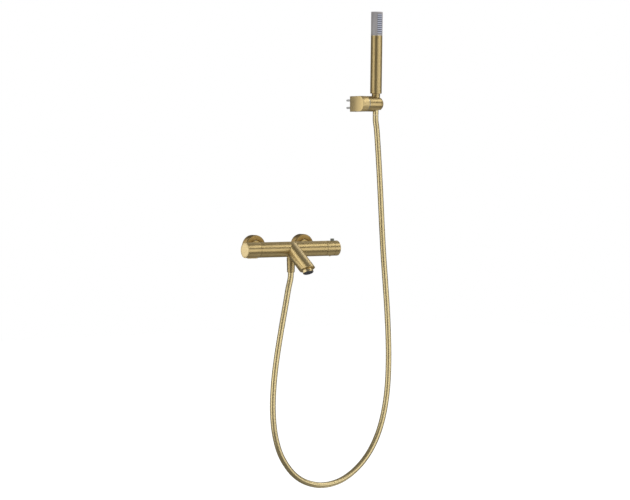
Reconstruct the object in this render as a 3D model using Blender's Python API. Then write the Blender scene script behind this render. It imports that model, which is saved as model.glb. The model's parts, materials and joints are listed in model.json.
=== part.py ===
"""Wall mounted thermostatic bath and shower mixer with a hand shower, hose and swivel wall holder.

Frame: metres, +Z up, the wall is the plane y = 0 and everything in the room has y < 0. The origin lies on the
wall, midway between the two inlets, at the height of the bar's own axis. +X is to the right, facing the wall.
Threads are plain cylinders at their root diameter.
"""
import math

import bmesh
import bpy
from mathutils import Matrix, Vector

# ------------------------------------------------------------------ shared fits
GAP = 0.0003                  # between two faces that touch
RUNNING_GAP = 0.0005          # between a knob and the body it turns against
WELD = 0.000005               # vertices closer than this are one

# ------------------------------------------------------------------ bar body
INLET_SPACING = 0.150
BAR_DIAMETER = 0.040
BAR_PROJECTION = 0.075        # wall to the bar's axis
BODY_LENGTH = 0.204
CARTRIDGE_BORE = 0.031
FLOW_BORE_DEPTH = 0.062
THERMOSTAT_BORE_DEPTH = 0.078
CHANNEL_DIAMETER = 0.018
INLET_BORE = 0.0156

# ------------------------------------------------------------------ wall unions
FLANGE_DIAMETER = 0.0615
FLANGE_DEPTH = 0.020
FLANGE_WALL = 0.0025
FLANGE_EDGE = 0.004
FLANGE_RISE = 0.006           # how far the wall inlets lie above the bar's axis
WALL_THREAD_DIAMETER = 0.0186
WALL_THREAD_LENGTH = 0.018
UNION_COLLAR_DIAMETER = 0.032
COLLAR_PROUD = 0.0015         # how far the collar stands out of the flange
UNION_THREAD_DIAMETER = 0.0242
UNION_THREAD_LENGTH = 0.0125
UNION_NUT_WALL = 0.0029
UNION_NUT_FLATS = UNION_THREAD_DIAMETER + 2 * UNION_NUT_WALL
UNION_NUT_SHOULDER = 0.004
UNION_NUT_SKIRT = 0.017
FILTER_THICKNESS = 0.0027
STUB_DIAMETER = 0.020
STUB_LIP_HEIGHT = 0.0018
STUB_LIP_DIAMETER = STUB_DIAMETER + 2 * STUB_LIP_HEIGHT
STUB_LIP_LENGTH = 0.003
STUB_ROOT = 0.0007            # from the cartridge bore's wall to the stub's buried end
WALL_BORE = 0.013
UNION_BORE = 0.015
CHECK_VALVE_LENGTH = 0.012
CHECK_VALVE_BORE = 0.0095

# ------------------------------------------------------------------ spout and aerator
SPOUT_DIAMETER = 0.0385
SPOUT_LENGTH = 0.092
SPOUT_DROOP = math.radians(34.0)
SPOUT_RISE = 0.0023           # the spout's axis passes this far above the bar's
SPOUT_END_ANGLE = math.radians(31.5)   # between the spout's axis and its oblique end's normal
SPOUT_BORE = 0.020
AERATOR_THREAD_BORE = 0.024
AERATOR_THREAD_DEPTH = 0.0118
AERATOR_RIM = 0.002           # how far the aerator's ring is wider than its thread
AERATOR_DIAMETER = AERATOR_THREAD_BORE + 2 * AERATOR_RIM
AERATOR_LENGTH = 0.0095
AERATOR_LIP = 0.0009
AERATOR_RECESS = AERATOR_DIAMETER - 2 * AERATOR_LIP
AERATOR_RECESS_DEPTH = 0.006
AERATOR_PROUD = 0.001
AERATOR_WALL = 0.0025
AERATOR_BORE = AERATOR_THREAD_BORE - 2 * AERATOR_WALL
AERATOR_SEAL_THICKNESS = 0.0022

# ------------------------------------------------------------------ hose outlet under the bar
OUTLET_SIDE = 0.004
OUTLET_BACK = 0.009           # the outlet lies behind the spout's root
OUTLET_BOSS_WALL = 0.0027
OUTLET_ROOT = 0.002           # how far below the bar's axis the boss begins
OUTLET_BOSS_PROUD = 0.0025    # how far the boss stands out below the bar
OUTLET_BOSS_DEPTH = BAR_DIAMETER / 2 + OUTLET_BOSS_PROUD
OUTLET_HOLE = 0.016
OUTLET_BOSS_DIAMETER = OUTLET_HOLE + 2 * OUTLET_BOSS_WALL
NIPPLE_BORE = 0.010
NIPPLE_INSET = 0.0145
HALF_INCH_THREAD = 0.0186
NIPPLE_THREAD_LENGTH = 0.0117

# ------------------------------------------------------------------ hose ends
HOSE_DIAMETER = 0.0155
HOSE_WASHER_THICKNESS = 0.002
HOSE_WASHER_BORE = 0.011
FERRULE_FLANGE = 0.0025
FERRULE_BORE = 0.009
LOWER_SLEEVE_LENGTH = 0.0104
LOWER_NUT_LENGTH = 0.038
LOWER_NUT_TOP_WALL = 0.0017
LOWER_NUT_TOP_DIAMETER = HALF_INCH_THREAD + 2 * LOWER_NUT_TOP_WALL
LOWER_NUT_END_WALL = 0.00215
LOWER_NUT_END_DIAMETER = HOSE_DIAMETER + 2 * LOWER_NUT_END_WALL
UPPER_NUT_LENGTH = 0.0433
UPPER_NUT_WALL = 0.00205
UPPER_NUT_TOP_DIAMETER = HALF_INCH_THREAD + 2 * UPPER_NUT_WALL
UPPER_NUT_END_DIAMETER = HOSE_DIAMETER + 2 * UPPER_NUT_WALL
UPPER_SLEEVE_LENGTH = 0.0394

# ------------------------------------------------------------------ knobs and cartridges
KNOB_LENGTH = 0.040
KNOB_WALL = 0.0035
KNOB_BORE = BAR_DIAMETER - 2 * KNOB_WALL
KNOB_FLOOR = 0.0035
KNOB_EDGE = 0.0006
CAP_RIM = 0.0013              # the knob's rim around its cap
CAP_DIAMETER = BAR_DIAMETER - 2 * CAP_RIM
CAP_THICKNESS = 0.0022
HUB_START = 0.008             # body end to the hub's near end
SPINDLE_DIAMETER = 0.010
HUB_WALL = 0.0025
HUB_DIAMETER = SPINDLE_DIAMETER + 2 * HUB_WALL
SPINDLE_REACH = 0.030         # body end to the spindle's outer end
KNOB_SCREW_DIAMETER = 0.004
KNOB_SCREW_RIM = 0.0018
KNOB_SCREW_HEAD = KNOB_SCREW_DIAMETER + 2 * KNOB_SCREW_RIM
KNOB_SCREW_HEAD_LENGTH = 0.0024
KNOB_SCREW_LENGTH = 0.015
NECK_WALL = 0.004
NECK_DIAMETER = SPINDLE_DIAMETER + 2 * NECK_WALL
NECK_REACH = 0.007            # body end to the cartridge neck's outer end
LOCK_RING_INSET = 0.003
LOCK_RING_LENGTH = 0.010
CARTRIDGE_ROOF = 0.0047       # thickness behind the cartridge's shoulder
PORT_DIAMETER = 0.009

FLOW_CARTRIDGE_WALL = 0.0042
FLOW_CAVITY_DIAMETER = CARTRIDGE_BORE - 2 * GAP - 2 * FLOW_CARTRIDGE_WALL
FLOW_CARTRIDGE_LENGTH = 0.0387
DISC_THICKNESS = 0.005
DISC_PORT_DIAMETER = 0.006
DISC_PORT_OFFSET = 0.0055
BASE_SEAL_BORE = 0.020
RIB_LENGTH = 0.027
RIB_WIDTH = 0.007
RIB_HEIGHT = 0.0016
RIB_FROM_END = 0.0095

THERMOSTAT_WALL = 0.0037
THERMOSTAT_CAVITY_DIAMETER = CARTRIDGE_BORE - 2 * GAP - 2 * THERMOSTAT_WALL
THERMOSTAT_HOUSING_LENGTH = 0.0617
SPINDLE_FLANGE_DIAMETER = 0.016
SPINDLE_FLANGE_LENGTH = 0.0025
SPINDLE_STEM_DIAMETER = 0.007
SPINDLE_STEM_LENGTH = 0.0092
SLIDER_START = 0.0245         # body end to the slider's near face
SLIDER_LENGTH = 0.0155
SLIDER_ROOF = 0.006
SLIDER_CUP_DIAMETER = 0.015
ELEMENT_BODY_DIAMETER = 0.011
ELEMENT_BODY_LENGTH = 0.020
RETURN_SPRING_INSET = 0.0015   # the cavity's wall to the middle of the wire
RETURN_SPRING_DIAMETER = THERMOSTAT_CAVITY_DIAMETER - 2 * RETURN_SPRING_INSET
RETURN_SPRING_WIRE = 0.0018
RETURN_SPRING_TURNS = 5
STOP_RING_PLAY = 0.001
STOP_RING_DIAMETER = KNOB_BORE - 2 * STOP_RING_PLAY
STOP_RING_LENGTH = 0.0052
KNOB_GROOVE_FROM_END = 0.0158
KNOB_GROOVE_WIDTH = 0.0006
KNOB_GROOVE_DEPTH = 0.0005
INDEX_FROM_END = 0.0224
INDEX_DIAMETER = 0.005
INDEX_HEIGHT = 0.0012
BUTTON_FROM_END = 0.0148
BUTTON_DIAMETER = 0.010
BUTTON_PROUD = 0.0055
BUTTON_FLANGE_RIM = 0.0015
BUTTON_FLANGE_DIAMETER = BUTTON_DIAMETER + 2 * BUTTON_FLANGE_RIM
BUTTON_FLANGE_DROP = 0.0017   # the knob's inner wall to the top of the button's flange
BUTTON_FLANGE_TOP = KNOB_BORE / 2 - BUTTON_FLANGE_DROP
BUTTON_FLANGE_THICKNESS = 0.002
BUTTON_SPRING_DIAMETER = 0.008
BUTTON_SPRING_WIRE = 0.0007
BUTTON_SPRING_TURNS = 3

# ------------------------------------------------------------------ wall bracket and swivel holder
HOLDER_X = 0.2874
HOLDER_Z = 0.383
HOLDER_PROJECTION = 0.045     # wall to the swivel axis
HOLDER_DIAMETER = 0.0415
HOLDER_LEAN = math.radians(1.25)
BLOCK_THICKNESS = 0.0209
BLOCK_TO_HANDSET = 0.0327     # swivel joint plane to the hand shower's axis
FRICTION_RING_THICKNESS = 0.0012
FRICTION_RING_INSET = 0.00055
FRICTION_RING_DIAMETER = HOLDER_DIAMETER - 2 * FRICTION_RING_INSET
LINER_WALL = 0.0013           # at the liner's wide end
LINER_HEIGHT = 0.031
HOSE_SLOT_PLAY = 0.0015
HOSE_SLOT_WIDTH = HOSE_DIAMETER + HOSE_SLOT_PLAY
PIVOT_BOLT_DIAMETER = 0.006
PIVOT_HEAD_RIM = 0.002
PIVOT_HEAD_DIAMETER = PIVOT_BOLT_DIAMETER + 2 * PIVOT_HEAD_RIM
PIVOT_HEAD_LENGTH = 0.005
PIVOT_HEAD_INSET = 0.0003
PIVOT_REACH = 0.012           # how far the bolt goes into the block
PIVOT_WASHER_THICKNESS = 0.0009
PLATE_WIDTH = 0.013
PLATE_HEIGHT = 0.032
PLATE_THICKNESS = 0.006
POCKET_DEPTH = 0.0095
SCREW_SPACING = 0.020
WALL_SCREW_DIAMETER = 0.0036
WALL_SCREW_RIM = 0.0017
WALL_SCREW_HEAD = WALL_SCREW_DIAMETER + 2 * WALL_SCREW_RIM
WALL_SCREW_HEAD_LENGTH = 0.0022
WALL_SCREW_LENGTH = 0.028
WALL_PLUG_WALL = 0.0012
WALL_PLUG_DIAMETER = WALL_SCREW_DIAMETER + 2 * WALL_PLUG_WALL
WALL_PLUG_LENGTH = 0.030
GRUB_DIAMETER = 0.004
GRUB_INSET = 0.001

# ------------------------------------------------------------------ hand shower
HANDSET_DIAMETER = 0.031
HANDSET_LENGTH = 0.2185
HANDSET_BOTTOM = 0.0276       # swivel axis to the handset's lower face
HANDSET_WALL = 0.0016
HANDSET_FLOOR = 0.002
SPRAY_LENGTH = 0.0625
SPRAY_SPIGOT_LENGTH = 0.010
SPRAY_CAVITY_DIAMETER = 0.012
SPRAY_ROOF = 0.010
SPRAY_EDGE = 0.0008
STRIP_WIDTH = 0.0148
STRIP_HEIGHT = 0.0525
STRIP_FROM_TOP = 0.0055
STRIP_DEPTH = 0.0045
STRIP_BACK = HANDSET_DIAMETER / 2 - STRIP_DEPTH
FEED_SLOT_WIDTH = 0.004
CONNECTOR_THREAD_LENGTH = 0.0131
CONNECTOR_FLANGE_LENGTH = 0.0057
CONNECTOR_SPIGOT_LENGTH = 0.015
CONNECTOR_BORE = 0.009
WATER_TUBE_DIAMETER = 0.015
WATER_TUBE_BORE = 0.011

# ------------------------------------------------------------------ facets
BIG_SIDES = 36
MID_SIDES = 24
SMALL_SIDES = 16
TINY_SIDES = 10
HOSE_POINTS = 48
HOSE_STRAIGHT = 0.012         # the hose leaves each crimped end straight for this far

# The hose's route from under the bar, down round its loop and up to the holder.
HOSE_ROUTE = [
    (0.0040, -0.0660, -0.0503), (0.0040, -0.0660, -0.0630), (0.0022, -0.0663, -0.079), (-0.0047, -0.0672, -0.104),
    (-0.0118, -0.0680, -0.137), (-0.0210, -0.0689, -0.178), (-0.0326, -0.0699, -0.232), (-0.0440, -0.0709, -0.291),
    (-0.0522, -0.0716, -0.350), (-0.0557, -0.0722, -0.408), (-0.0532, -0.0725, -0.459), (-0.0452, -0.0726, -0.501),
    (-0.0318, -0.0727, -0.538), (-0.0110, -0.0727, -0.5705), (0.0135, -0.0726, -0.5958), (0.0433, -0.0724, -0.614),
    (0.0766, -0.0723, -0.6245), (0.1064, -0.0721, -0.6273), (0.1360, -0.0719, -0.6243), (0.1650, -0.0716, -0.6158),
    (0.1960, -0.0712, -0.5996), (0.2270, -0.0707, -0.5755), (0.2540, -0.0701, -0.545), (0.2765, -0.0694, -0.5075),
    (0.2933, -0.0685, -0.4655), (0.3056, -0.0674, -0.417), (0.3130, -0.0662, -0.366), (0.3166, -0.0647, -0.307),
    (0.3168, -0.0631, -0.247), (0.3146, -0.0610, -0.177), (0.3106, -0.0589, -0.107), (0.3056, -0.0563, -0.028),
    (0.3020, -0.0537, 0.052), (0.2992, -0.0512, 0.132), (0.2964, -0.0490, 0.202), (0.2934, -0.0472, 0.262),
    (0.2904, -0.0457, 0.312), (0.2878, -0.0444, 0.335), (0.2874, -0.04416, 0.3445), (0.2874, -0.04434, 0.3527),
]



# ================================================================== helpers
def clear_scene():
    """Start from an empty scene."""
    for obj in list(bpy.data.objects):
        bpy.data.objects.remove(obj, do_unlink=True)


def material(name, colour, roughness, metallic):
    """A Principled material of one colour."""
    mat = bpy.data.materials.new(name)
    mat.use_nodes = True
    shader = mat.node_tree.nodes["Principled BSDF"]
    shader.inputs["Base Color"].default_value = (*colour, 1.0)
    shader.inputs["Roughness"].default_value = roughness
    shader.inputs["Metallic"].default_value = metallic
    return mat


def frame(name, origin, z_axis, x_axis, parent=None):
    """An empty whose +Z and +X point along the given directions."""
    z = Vector(z_axis).normalized()
    x = Vector(x_axis).normalized()
    y = z.cross(x)
    matrix = Matrix((x, y, z)).transposed().to_4x4()
    matrix.translation = Vector(origin)
    empty = bpy.data.objects.new(name, None)
    bpy.context.scene.collection.objects.link(empty)
    empty.parent = parent
    empty.matrix_local = matrix
    return empty


def add(name, bm, parent, mat, smooth_angle=35.0):
    """Turn a bmesh into a named object under its frame."""
    bmesh.ops.recalc_face_normals(bm, faces=bm.faces)
    mesh = bpy.data.meshes.new(name)
    bm.to_mesh(mesh)
    bm.free()
    mesh.shade_smooth()
    mesh.set_sharp_from_angle(angle=math.radians(smooth_angle))
    obj = bpy.data.objects.new(name, mesh)
    bpy.context.scene.collection.objects.link(obj)
    obj.parent = parent
    if mat is not None:
        obj.data.materials.append(mat)
    return obj


def turned_mesh(outline, sides):
    """Spin a closed outline of (radius, height) points once about Z."""
    bm = bmesh.new()
    verts = [bm.verts.new((radius, 0.0, height)) for radius, height in outline]
    closed = outline[0][0] > 0.0 or outline[-1][0] > 0.0
    pairs = list(zip(verts, verts[1:]))
    if closed:
        pairs.append((verts[-1], verts[0]))
    edges = [bm.edges.new(pair) for pair in pairs]
    bmesh.ops.spin(bm, geom=verts + edges, axis=(0, 0, 1), cent=(0, 0, 0), angle=math.tau, steps=sides,
                   use_merge=True)
    bmesh.ops.remove_doubles(bm, verts=bm.verts, dist=1e-6)
    return bm


def turned(name, outline, sides, parent, mat):
    """A round piece, turned about its frame's Z."""
    return add(name, turned_mesh(outline, sides), parent, mat)


def rod(radius, low, high):
    """The outline of a plain round bar."""
    return [(0.0, low), (radius, low), (radius, high), (0.0, high)]


def ring(outer, inner, low, high):
    """The outline of a plain ring or tube."""
    return [(inner, low), (outer, low), (outer, high), (inner, high)]


def block_mesh(low, high):
    """A box between two corners."""
    bm = bmesh.new()
    bmesh.ops.create_cube(bm, size=1.0)
    low, high = Vector(low), Vector(high)
    size = high - low
    for vert in bm.verts:
        vert.co = Vector((low[i] + (vert.co[i] + 0.5) * size[i] for i in range(3)))
    return bm


def prism_mesh(points, low, high):
    """Extrude a closed outline of (x, y) points along Z."""
    bm = bmesh.new()
    face = bm.faces.new([bm.verts.new((x, y, low)) for x, y in points])
    out = bmesh.ops.extrude_face_region(bm, geom=[face])
    tops = [item for item in out["geom"] if isinstance(item, bmesh.types.BMVert)]
    bmesh.ops.translate(bm, verts=tops, vec=(0, 0, high - low))
    return bm


def helper(target, bm, parent, operation):
    """A hidden body that is cut from, or joined to, its target."""
    tool = add(f"{target.name}_{operation.lower()}_{len(target.modifiers) // 2 + 1}", bm, parent, None)
    tool.hide_render = True
    tool.display_type = "WIRE"
    step = target.modifiers.new(tool.name, "BOOLEAN")
    step.operation = operation
    step.solver = "EXACT"
    step.object = tool
    seam = target.modifiers.new(f"{tool.name}_weld", "WELD")
    seam.merge_threshold = WELD
    return tool


def cut(target, bm, parent):
    """Take a body away from the target."""
    return helper(target, bm, parent, "DIFFERENCE")


def join(target, bm, parent):
    """Add a body to the target."""
    return helper(target, bm, parent, "UNION")


def tube_curve(name, points, radius, facets, mat):
    """A solid round cord or wire along a line of points."""
    curve = bpy.data.curves.new(name, "CURVE")
    curve.dimensions = "3D"
    curve.bevel_depth = radius
    curve.bevel_resolution = facets
    curve.use_fill_caps = True
    spline = curve.splines.new("POLY")
    spline.points.add(len(points) - 1)
    for point, place in zip(spline.points, points):
        point.co = (*place, 1.0)
    obj = bpy.data.objects.new(name, curve)
    bpy.context.scene.collection.objects.link(obj)
    curve.materials.append(mat)
    return obj


def smooth_line(route, count):
    """Points along a Catmull-Rom curve through the route: a short straight at each end, then even steps."""
    places = [Vector(place) for place in route]
    padded = [2 * places[0] - places[1]] + places + [2 * places[-1] - places[-2]]
    fine = []
    for a, b, c, d in zip(padded, padded[1:], padded[2:], padded[3:]):
        for step in range(24):
            t = step / 24
            fine.append(0.5 * (2 * b + (c - a) * t + (2 * a - 5 * b + 4 * c - d) * t ** 2
                               + (3 * b - a - 3 * c + d) * t ** 3))
    fine.append(places[-1])
    travelled = [0.0]
    for here, there in zip(fine, fine[1:]):
        travelled.append(travelled[-1] + (there - here).length)
    line, at = [], 0
    even = (travelled[-1] - 2 * HOSE_STRAIGHT) / (count - 3)
    goals = [0.0] + [HOSE_STRAIGHT + even * index for index in range(count - 2)] + [travelled[-1]]
    for goal in goals:
        while at < len(fine) - 2 and travelled[at + 1] < goal:
            at += 1
        share = (goal - travelled[at]) / (travelled[at + 1] - travelled[at])
        line.append(fine[at].lerp(fine[at + 1], min(1.0, share)))
    return line


def coil_points(diameter, low, high, turns, start=(0.0, 0.0)):
    """Points of a spring about Z, between two heights."""
    steps = turns * TINY_SIDES
    points = []
    for step in range(steps + 1):
        angle = math.tau * step / TINY_SIDES
        points.append(Vector((start[0] + diameter / 2 * math.cos(angle), start[1] + diameter / 2 * math.sin(angle),
                              low + (high - low) * step / steps)))
    return points


# ================================================================== mixer
def inlet_stations():
    """Distances from the wall along one inlet, in the order water meets them."""
    thread_end = FLANGE_DEPTH + COLLAR_PROUD + UNION_THREAD_LENGTH
    washer = thread_end + GAP
    lip = washer + FILTER_THICKNESS + GAP
    shoulder = lip + STUB_LIP_LENGTH + GAP
    return {"thread_end": thread_end, "washer": washer, "lip": lip, "shoulder": shoulder}


def outlet_stations():
    """Distances below the bar's axis along the hose outlet."""
    nipple_face = OUTLET_BOSS_DEPTH + GAP
    nipple_end = nipple_face + NIPPLE_THREAD_LENGTH
    washer = nipple_end + GAP
    ferrule = washer + HOSE_WASHER_THICKNESS + GAP
    sleeve = ferrule + FERRULE_FLANGE
    hose = sleeve + LOWER_SLEEVE_LENGTH + GAP
    nut = OUTLET_BOSS_DEPTH + RUNNING_GAP
    return {"nipple_face": nipple_face, "nipple_end": nipple_end, "washer": washer, "ferrule": ferrule,
            "sleeve": sleeve, "hose": hose, "nut": nut}


def oblique_bar_mesh(radius, length, angle, sides):
    """A round bar from Z = 0 whose far end is a plane tilted about X by the angle."""
    bm = bmesh.new()
    bmesh.ops.create_cone(bm, cap_ends=True, segments=sides, radius1=radius, radius2=radius, depth=1.0)
    for vert in bm.verts:
        vert.co.z = 0.0 if vert.co.z < 0.0 else length + vert.co.y * math.tan(angle)
    return bm


def make_body(places, mats):
    """The cast body: bar, inlet stubs, spout and outlet boss, with its waterways."""
    outer, bore = BAR_DIAMETER / 2, CARTRIDGE_BORE / 2
    flow_floor = -BODY_LENGTH + FLOW_BORE_DEPTH
    bar = [(0.0, flow_floor), (bore, flow_floor), (bore, -BODY_LENGTH), (outer, -BODY_LENGTH), (outer, 0.0),
           (bore, 0.0), (bore, -THERMOSTAT_BORE_DEPTH), (0.0, -THERMOSTAT_BORE_DEPTH)]
    body = turned("mixer_body", bar, BIG_SIDES, places["right_end"], mats["brushed_gold"])
    at = inlet_stations()
    stub_root = BAR_PROJECTION - bore - STUB_ROOT
    for side in ("left_inlet", "right_inlet"):
        stub = [(0.0, at["lip"]), (STUB_LIP_DIAMETER / 2, at["lip"]),
                (STUB_LIP_DIAMETER / 2, at["lip"] + STUB_LIP_LENGTH), (STUB_DIAMETER / 2, at["lip"] + STUB_LIP_LENGTH),
                (STUB_DIAMETER / 2, stub_root), (0.0, stub_root)]
        join(body, turned_mesh(stub, MID_SIDES), places[side])
    join(body, oblique_bar_mesh(SPOUT_DIAMETER / 2, SPOUT_LENGTH, SPOUT_END_ANGLE, BIG_SIDES), places["spout"])
    join(body, turned_mesh(rod(OUTLET_BOSS_DIAMETER / 2, OUTLET_ROOT, OUTLET_BOSS_DEPTH), MID_SIDES), places["outlet"])

    channel = rod(CHANNEL_DIAMETER / 2, flow_floor - 0.005, -THERMOSTAT_BORE_DEPTH + 0.005)
    cut(body, turned_mesh(channel, MID_SIDES), places["right_end"])
    for side in ("left_inlet", "right_inlet"):
        bore = rod(INLET_BORE / 2, at["lip"] - 0.005, BAR_PROJECTION)
        cut(body, turned_mesh(bore, SMALL_SIDES), places[side])
    spout_bore = rod(SPOUT_BORE / 2, 0.0, SPOUT_LENGTH - AERATOR_THREAD_DEPTH / 2)
    cut(body, turned_mesh(spout_bore, MID_SIDES), places["spout"])
    mouth = rod(AERATOR_THREAD_BORE / 2, -AERATOR_THREAD_DEPTH, 0.01)
    cut(body, turned_mesh(mouth, MID_SIDES), places["spout_end"])
    cut(body, turned_mesh(rod(OUTLET_HOLE / 2, 2 * OUTLET_ROOT, OUTLET_BOSS_DEPTH + 0.01), SMALL_SIDES), places["outlet"])


def make_wall_union(side, places, mats):
    """One inlet: the S-union in the wall, its flange, union nut, filter washer and check valve."""
    at = inlet_stations()
    inlet, wall = places[f"{side}_inlet"], places[f"{side}_wall"]
    collar_end = FLANGE_DEPTH + COLLAR_PROUD
    s_outline = [(0.0, -WALL_THREAD_LENGTH), (WALL_THREAD_DIAMETER / 2, -WALL_THREAD_LENGTH),
                 (WALL_THREAD_DIAMETER / 2, 0.0), (UNION_COLLAR_DIAMETER / 2, 0.0),
                 (UNION_COLLAR_DIAMETER / 2, collar_end), (0.0, collar_end)]
    union = turned(f"{side}_s_union", s_outline, MID_SIDES, wall, mats["brass"])
    thread = rod(UNION_THREAD_DIAMETER / 2, collar_end - 0.001, at["thread_end"])
    join(union, turned_mesh(thread, MID_SIDES), inlet)
    cut(union, turned_mesh(rod(WALL_BORE / 2, -WALL_THREAD_LENGTH - 0.01, 0.8 * collar_end), SMALL_SIDES), wall)
    cut(union, turned_mesh(rod(UNION_BORE / 2, 0.4 * collar_end, at["thread_end"] + 0.01), SMALL_SIDES), inlet)

    outer, edge = FLANGE_DIAMETER / 2, FLANGE_EDGE
    corner = [(outer - edge + edge * math.cos(a), FLANGE_DEPTH - edge + edge * math.sin(a))
              for a in (math.radians(15 * k) for k in range(7))]
    hole = UNION_COLLAR_DIAMETER / 2 + GAP
    inner = outer - FLANGE_WALL
    flange = [(inner, 0.0), (outer, 0.0)] + corner + [(hole, FLANGE_DEPTH), (hole, FLANGE_DEPTH - FLANGE_WALL),
                                                      (inner - edge / 2, FLANGE_DEPTH - FLANGE_WALL),
                                                      (inner, FLANGE_DEPTH - FLANGE_WALL - edge / 2)]
    turned(f"{side}_flange", flange, BIG_SIDES, wall, mats["brushed_gold"])

    skirt = at["shoulder"] - UNION_NUT_SKIRT
    nut_end = at["shoulder"] + UNION_NUT_SHOULDER
    nut = turned(f"{side}_union_nut", rod(UNION_NUT_FLATS / 2 / math.cos(math.pi / 6), skirt, nut_end), 6, inlet,
                 mats["brushed_gold"])
    cavity = max(UNION_THREAD_DIAMETER, STUB_LIP_DIAMETER) / 2 + GAP
    nut_bore = [(0.0, skirt - 0.01), (cavity, skirt - 0.01), (cavity, at["shoulder"]),
                (STUB_DIAMETER / 2 + GAP, at["shoulder"]), (STUB_DIAMETER / 2 + GAP, nut_end + 0.01),
                (0.0, nut_end + 0.01)]
    cut(nut, turned_mesh(nut_bore, MID_SIDES), inlet)

    washer = ring(STUB_LIP_DIAMETER / 2, UNION_BORE / 2, at["washer"], at["washer"] + FILTER_THICKNESS)
    turned(f"{side}_filter_washer", washer, SMALL_SIDES, inlet, mats["rubber"])
    valve_start = at["lip"] + STUB_LIP_LENGTH
    valve = ring(INLET_BORE / 2 - GAP, CHECK_VALVE_BORE / 2, valve_start, valve_start + CHECK_VALVE_LENGTH)
    turned(f"{side}_check_valve", valve, SMALL_SIDES, inlet, mats["plastic"])


def cartridge_outline(cavity_diameter, length):
    """A cartridge: a neck that the lock ring slides over, a shoulder, and a cavity open at its inner end."""
    neck, body = NECK_DIAMETER / 2, CARTRIDGE_BORE / 2 - GAP
    spindle = SPINDLE_DIAMETER / 2 + GAP
    shoulder = -(LOCK_RING_INSET + LOCK_RING_LENGTH + GAP)
    roof = shoulder - CARTRIDGE_ROOF
    return [(spindle, NECK_REACH), (neck, NECK_REACH), (neck, shoulder), (body, shoulder),
            (body, shoulder - length), (cavity_diameter / 2, shoulder - length), (cavity_diameter / 2, roof),
            (spindle, roof)]


def port_mesh(height):
    """A cross hole through both walls of a cartridge, square to its axis."""
    bm = turned_mesh(rod(PORT_DIAMETER / 2, -CARTRIDGE_BORE, CARTRIDGE_BORE), TINY_SIDES)
    bmesh.ops.rotate(bm, verts=bm.verts, cent=(0, 0, 0), matrix=Matrix.Rotation(math.pi / 2, 3, "Y"))
    bmesh.ops.translate(bm, verts=bm.verts, vec=(0, 0, height))
    return bm


def lock_ring(name, parent, mat):
    """The threaded ring that holds a cartridge in its bore."""
    outline = ring(CARTRIDGE_BORE / 2 - GAP, NECK_DIAMETER / 2 + GAP, -LOCK_RING_INSET - LOCK_RING_LENGTH,
                   -LOCK_RING_INSET)
    turned(name, outline, MID_SIDES, parent, mat)


def knob_stations():
    """Distances outward from the body's end along a knob."""
    start = RUNNING_GAP
    end = start + KNOB_LENGTH
    cap_seat = end - CAP_THICKNESS - GAP
    return {"start": start, "end": end, "cap_seat": cap_seat, "floor": cap_seat - KNOB_FLOOR}


def knob_outline(groove):
    """A knob: an outer shell, an end wall with a seat for its cap, and a hub on the spindle."""
    at = knob_stations()
    outer, shell, hub = BAR_DIAMETER / 2, KNOB_BORE / 2, HUB_DIAMETER / 2
    spindle = SPINDLE_DIAMETER / 2 + GAP
    screw, head = KNOB_SCREW_DIAMETER / 2 + GAP, KNOB_SCREW_HEAD / 2 + GAP
    head_seat = at["cap_seat"] - KNOB_SCREW_HEAD_LENGTH - 2 * GAP
    bottom = SPINDLE_REACH + GAP
    side = [(shell, at["start"]), (outer, at["start"])]
    if groove:
        far = at["end"] - KNOB_GROOVE_FROM_END
        side += [(outer, far - KNOB_GROOVE_WIDTH), (outer - KNOB_GROOVE_DEPTH, far - KNOB_GROOVE_WIDTH),
                 (outer - KNOB_GROOVE_DEPTH, far), (outer, far)]
    side += [(outer, at["end"] - KNOB_EDGE), (outer - KNOB_EDGE, at["end"])]
    seat = CAP_DIAMETER / 2 + GAP
    return side + [(seat, at["end"]), (seat, at["cap_seat"]), (head, at["cap_seat"]), (head, head_seat),
                   (screw, head_seat), (screw, bottom), (spindle, bottom), (spindle, HUB_START), (hub, HUB_START),
                   (hub, at["floor"]), (shell, at["floor"])]


def knob_fixings(name, parent, mats):
    """The knob's screw and the cap that covers it."""
    at = knob_stations()
    head_start = at["cap_seat"] - KNOB_SCREW_HEAD_LENGTH - GAP
    screw = [(0.0, head_start - KNOB_SCREW_LENGTH), (KNOB_SCREW_DIAMETER / 2, head_start - KNOB_SCREW_LENGTH),
             (KNOB_SCREW_DIAMETER / 2, head_start), (KNOB_SCREW_HEAD / 2, head_start),
             (KNOB_SCREW_HEAD / 2, head_start + KNOB_SCREW_HEAD_LENGTH), (0.0, head_start + KNOB_SCREW_HEAD_LENGTH)]
    turned(f"{name}_screw", screw, TINY_SIDES, parent, mats["steel"])
    turned(f"{name}_cap", rod(CAP_DIAMETER / 2, at["cap_seat"] + GAP, at["end"]), BIG_SIDES, parent,
           mats["bright_gold"])


def spindle_outline(tail):
    """A spindle with a tapped hole in its outer end; tail gives its inner end's points."""
    screw = KNOB_SCREW_DIAMETER / 2 + GAP
    radius = SPINDLE_DIAMETER / 2
    hole_floor = knob_stations()["cap_seat"] - KNOB_SCREW_HEAD_LENGTH - KNOB_SCREW_LENGTH - 3 * GAP
    return tail + [(radius, SPINDLE_REACH), (screw, SPINDLE_REACH), (screw, hole_floor), (0.0, hole_floor)]


def ceramic_disc(name, radius, low, high, parent, mat):
    """A ceramic disc with its waterway hole beside the centre."""
    disc = turned(name, rod(radius, low, high), MID_SIDES, parent, mat)
    port = turned_mesh(rod(DISC_PORT_DIAMETER / 2, low - 0.002, high + 0.002), TINY_SIDES)
    bmesh.ops.translate(port, verts=port.verts, vec=(0, DISC_PORT_OFFSET, 0))
    cut(disc, port, parent)


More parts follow.
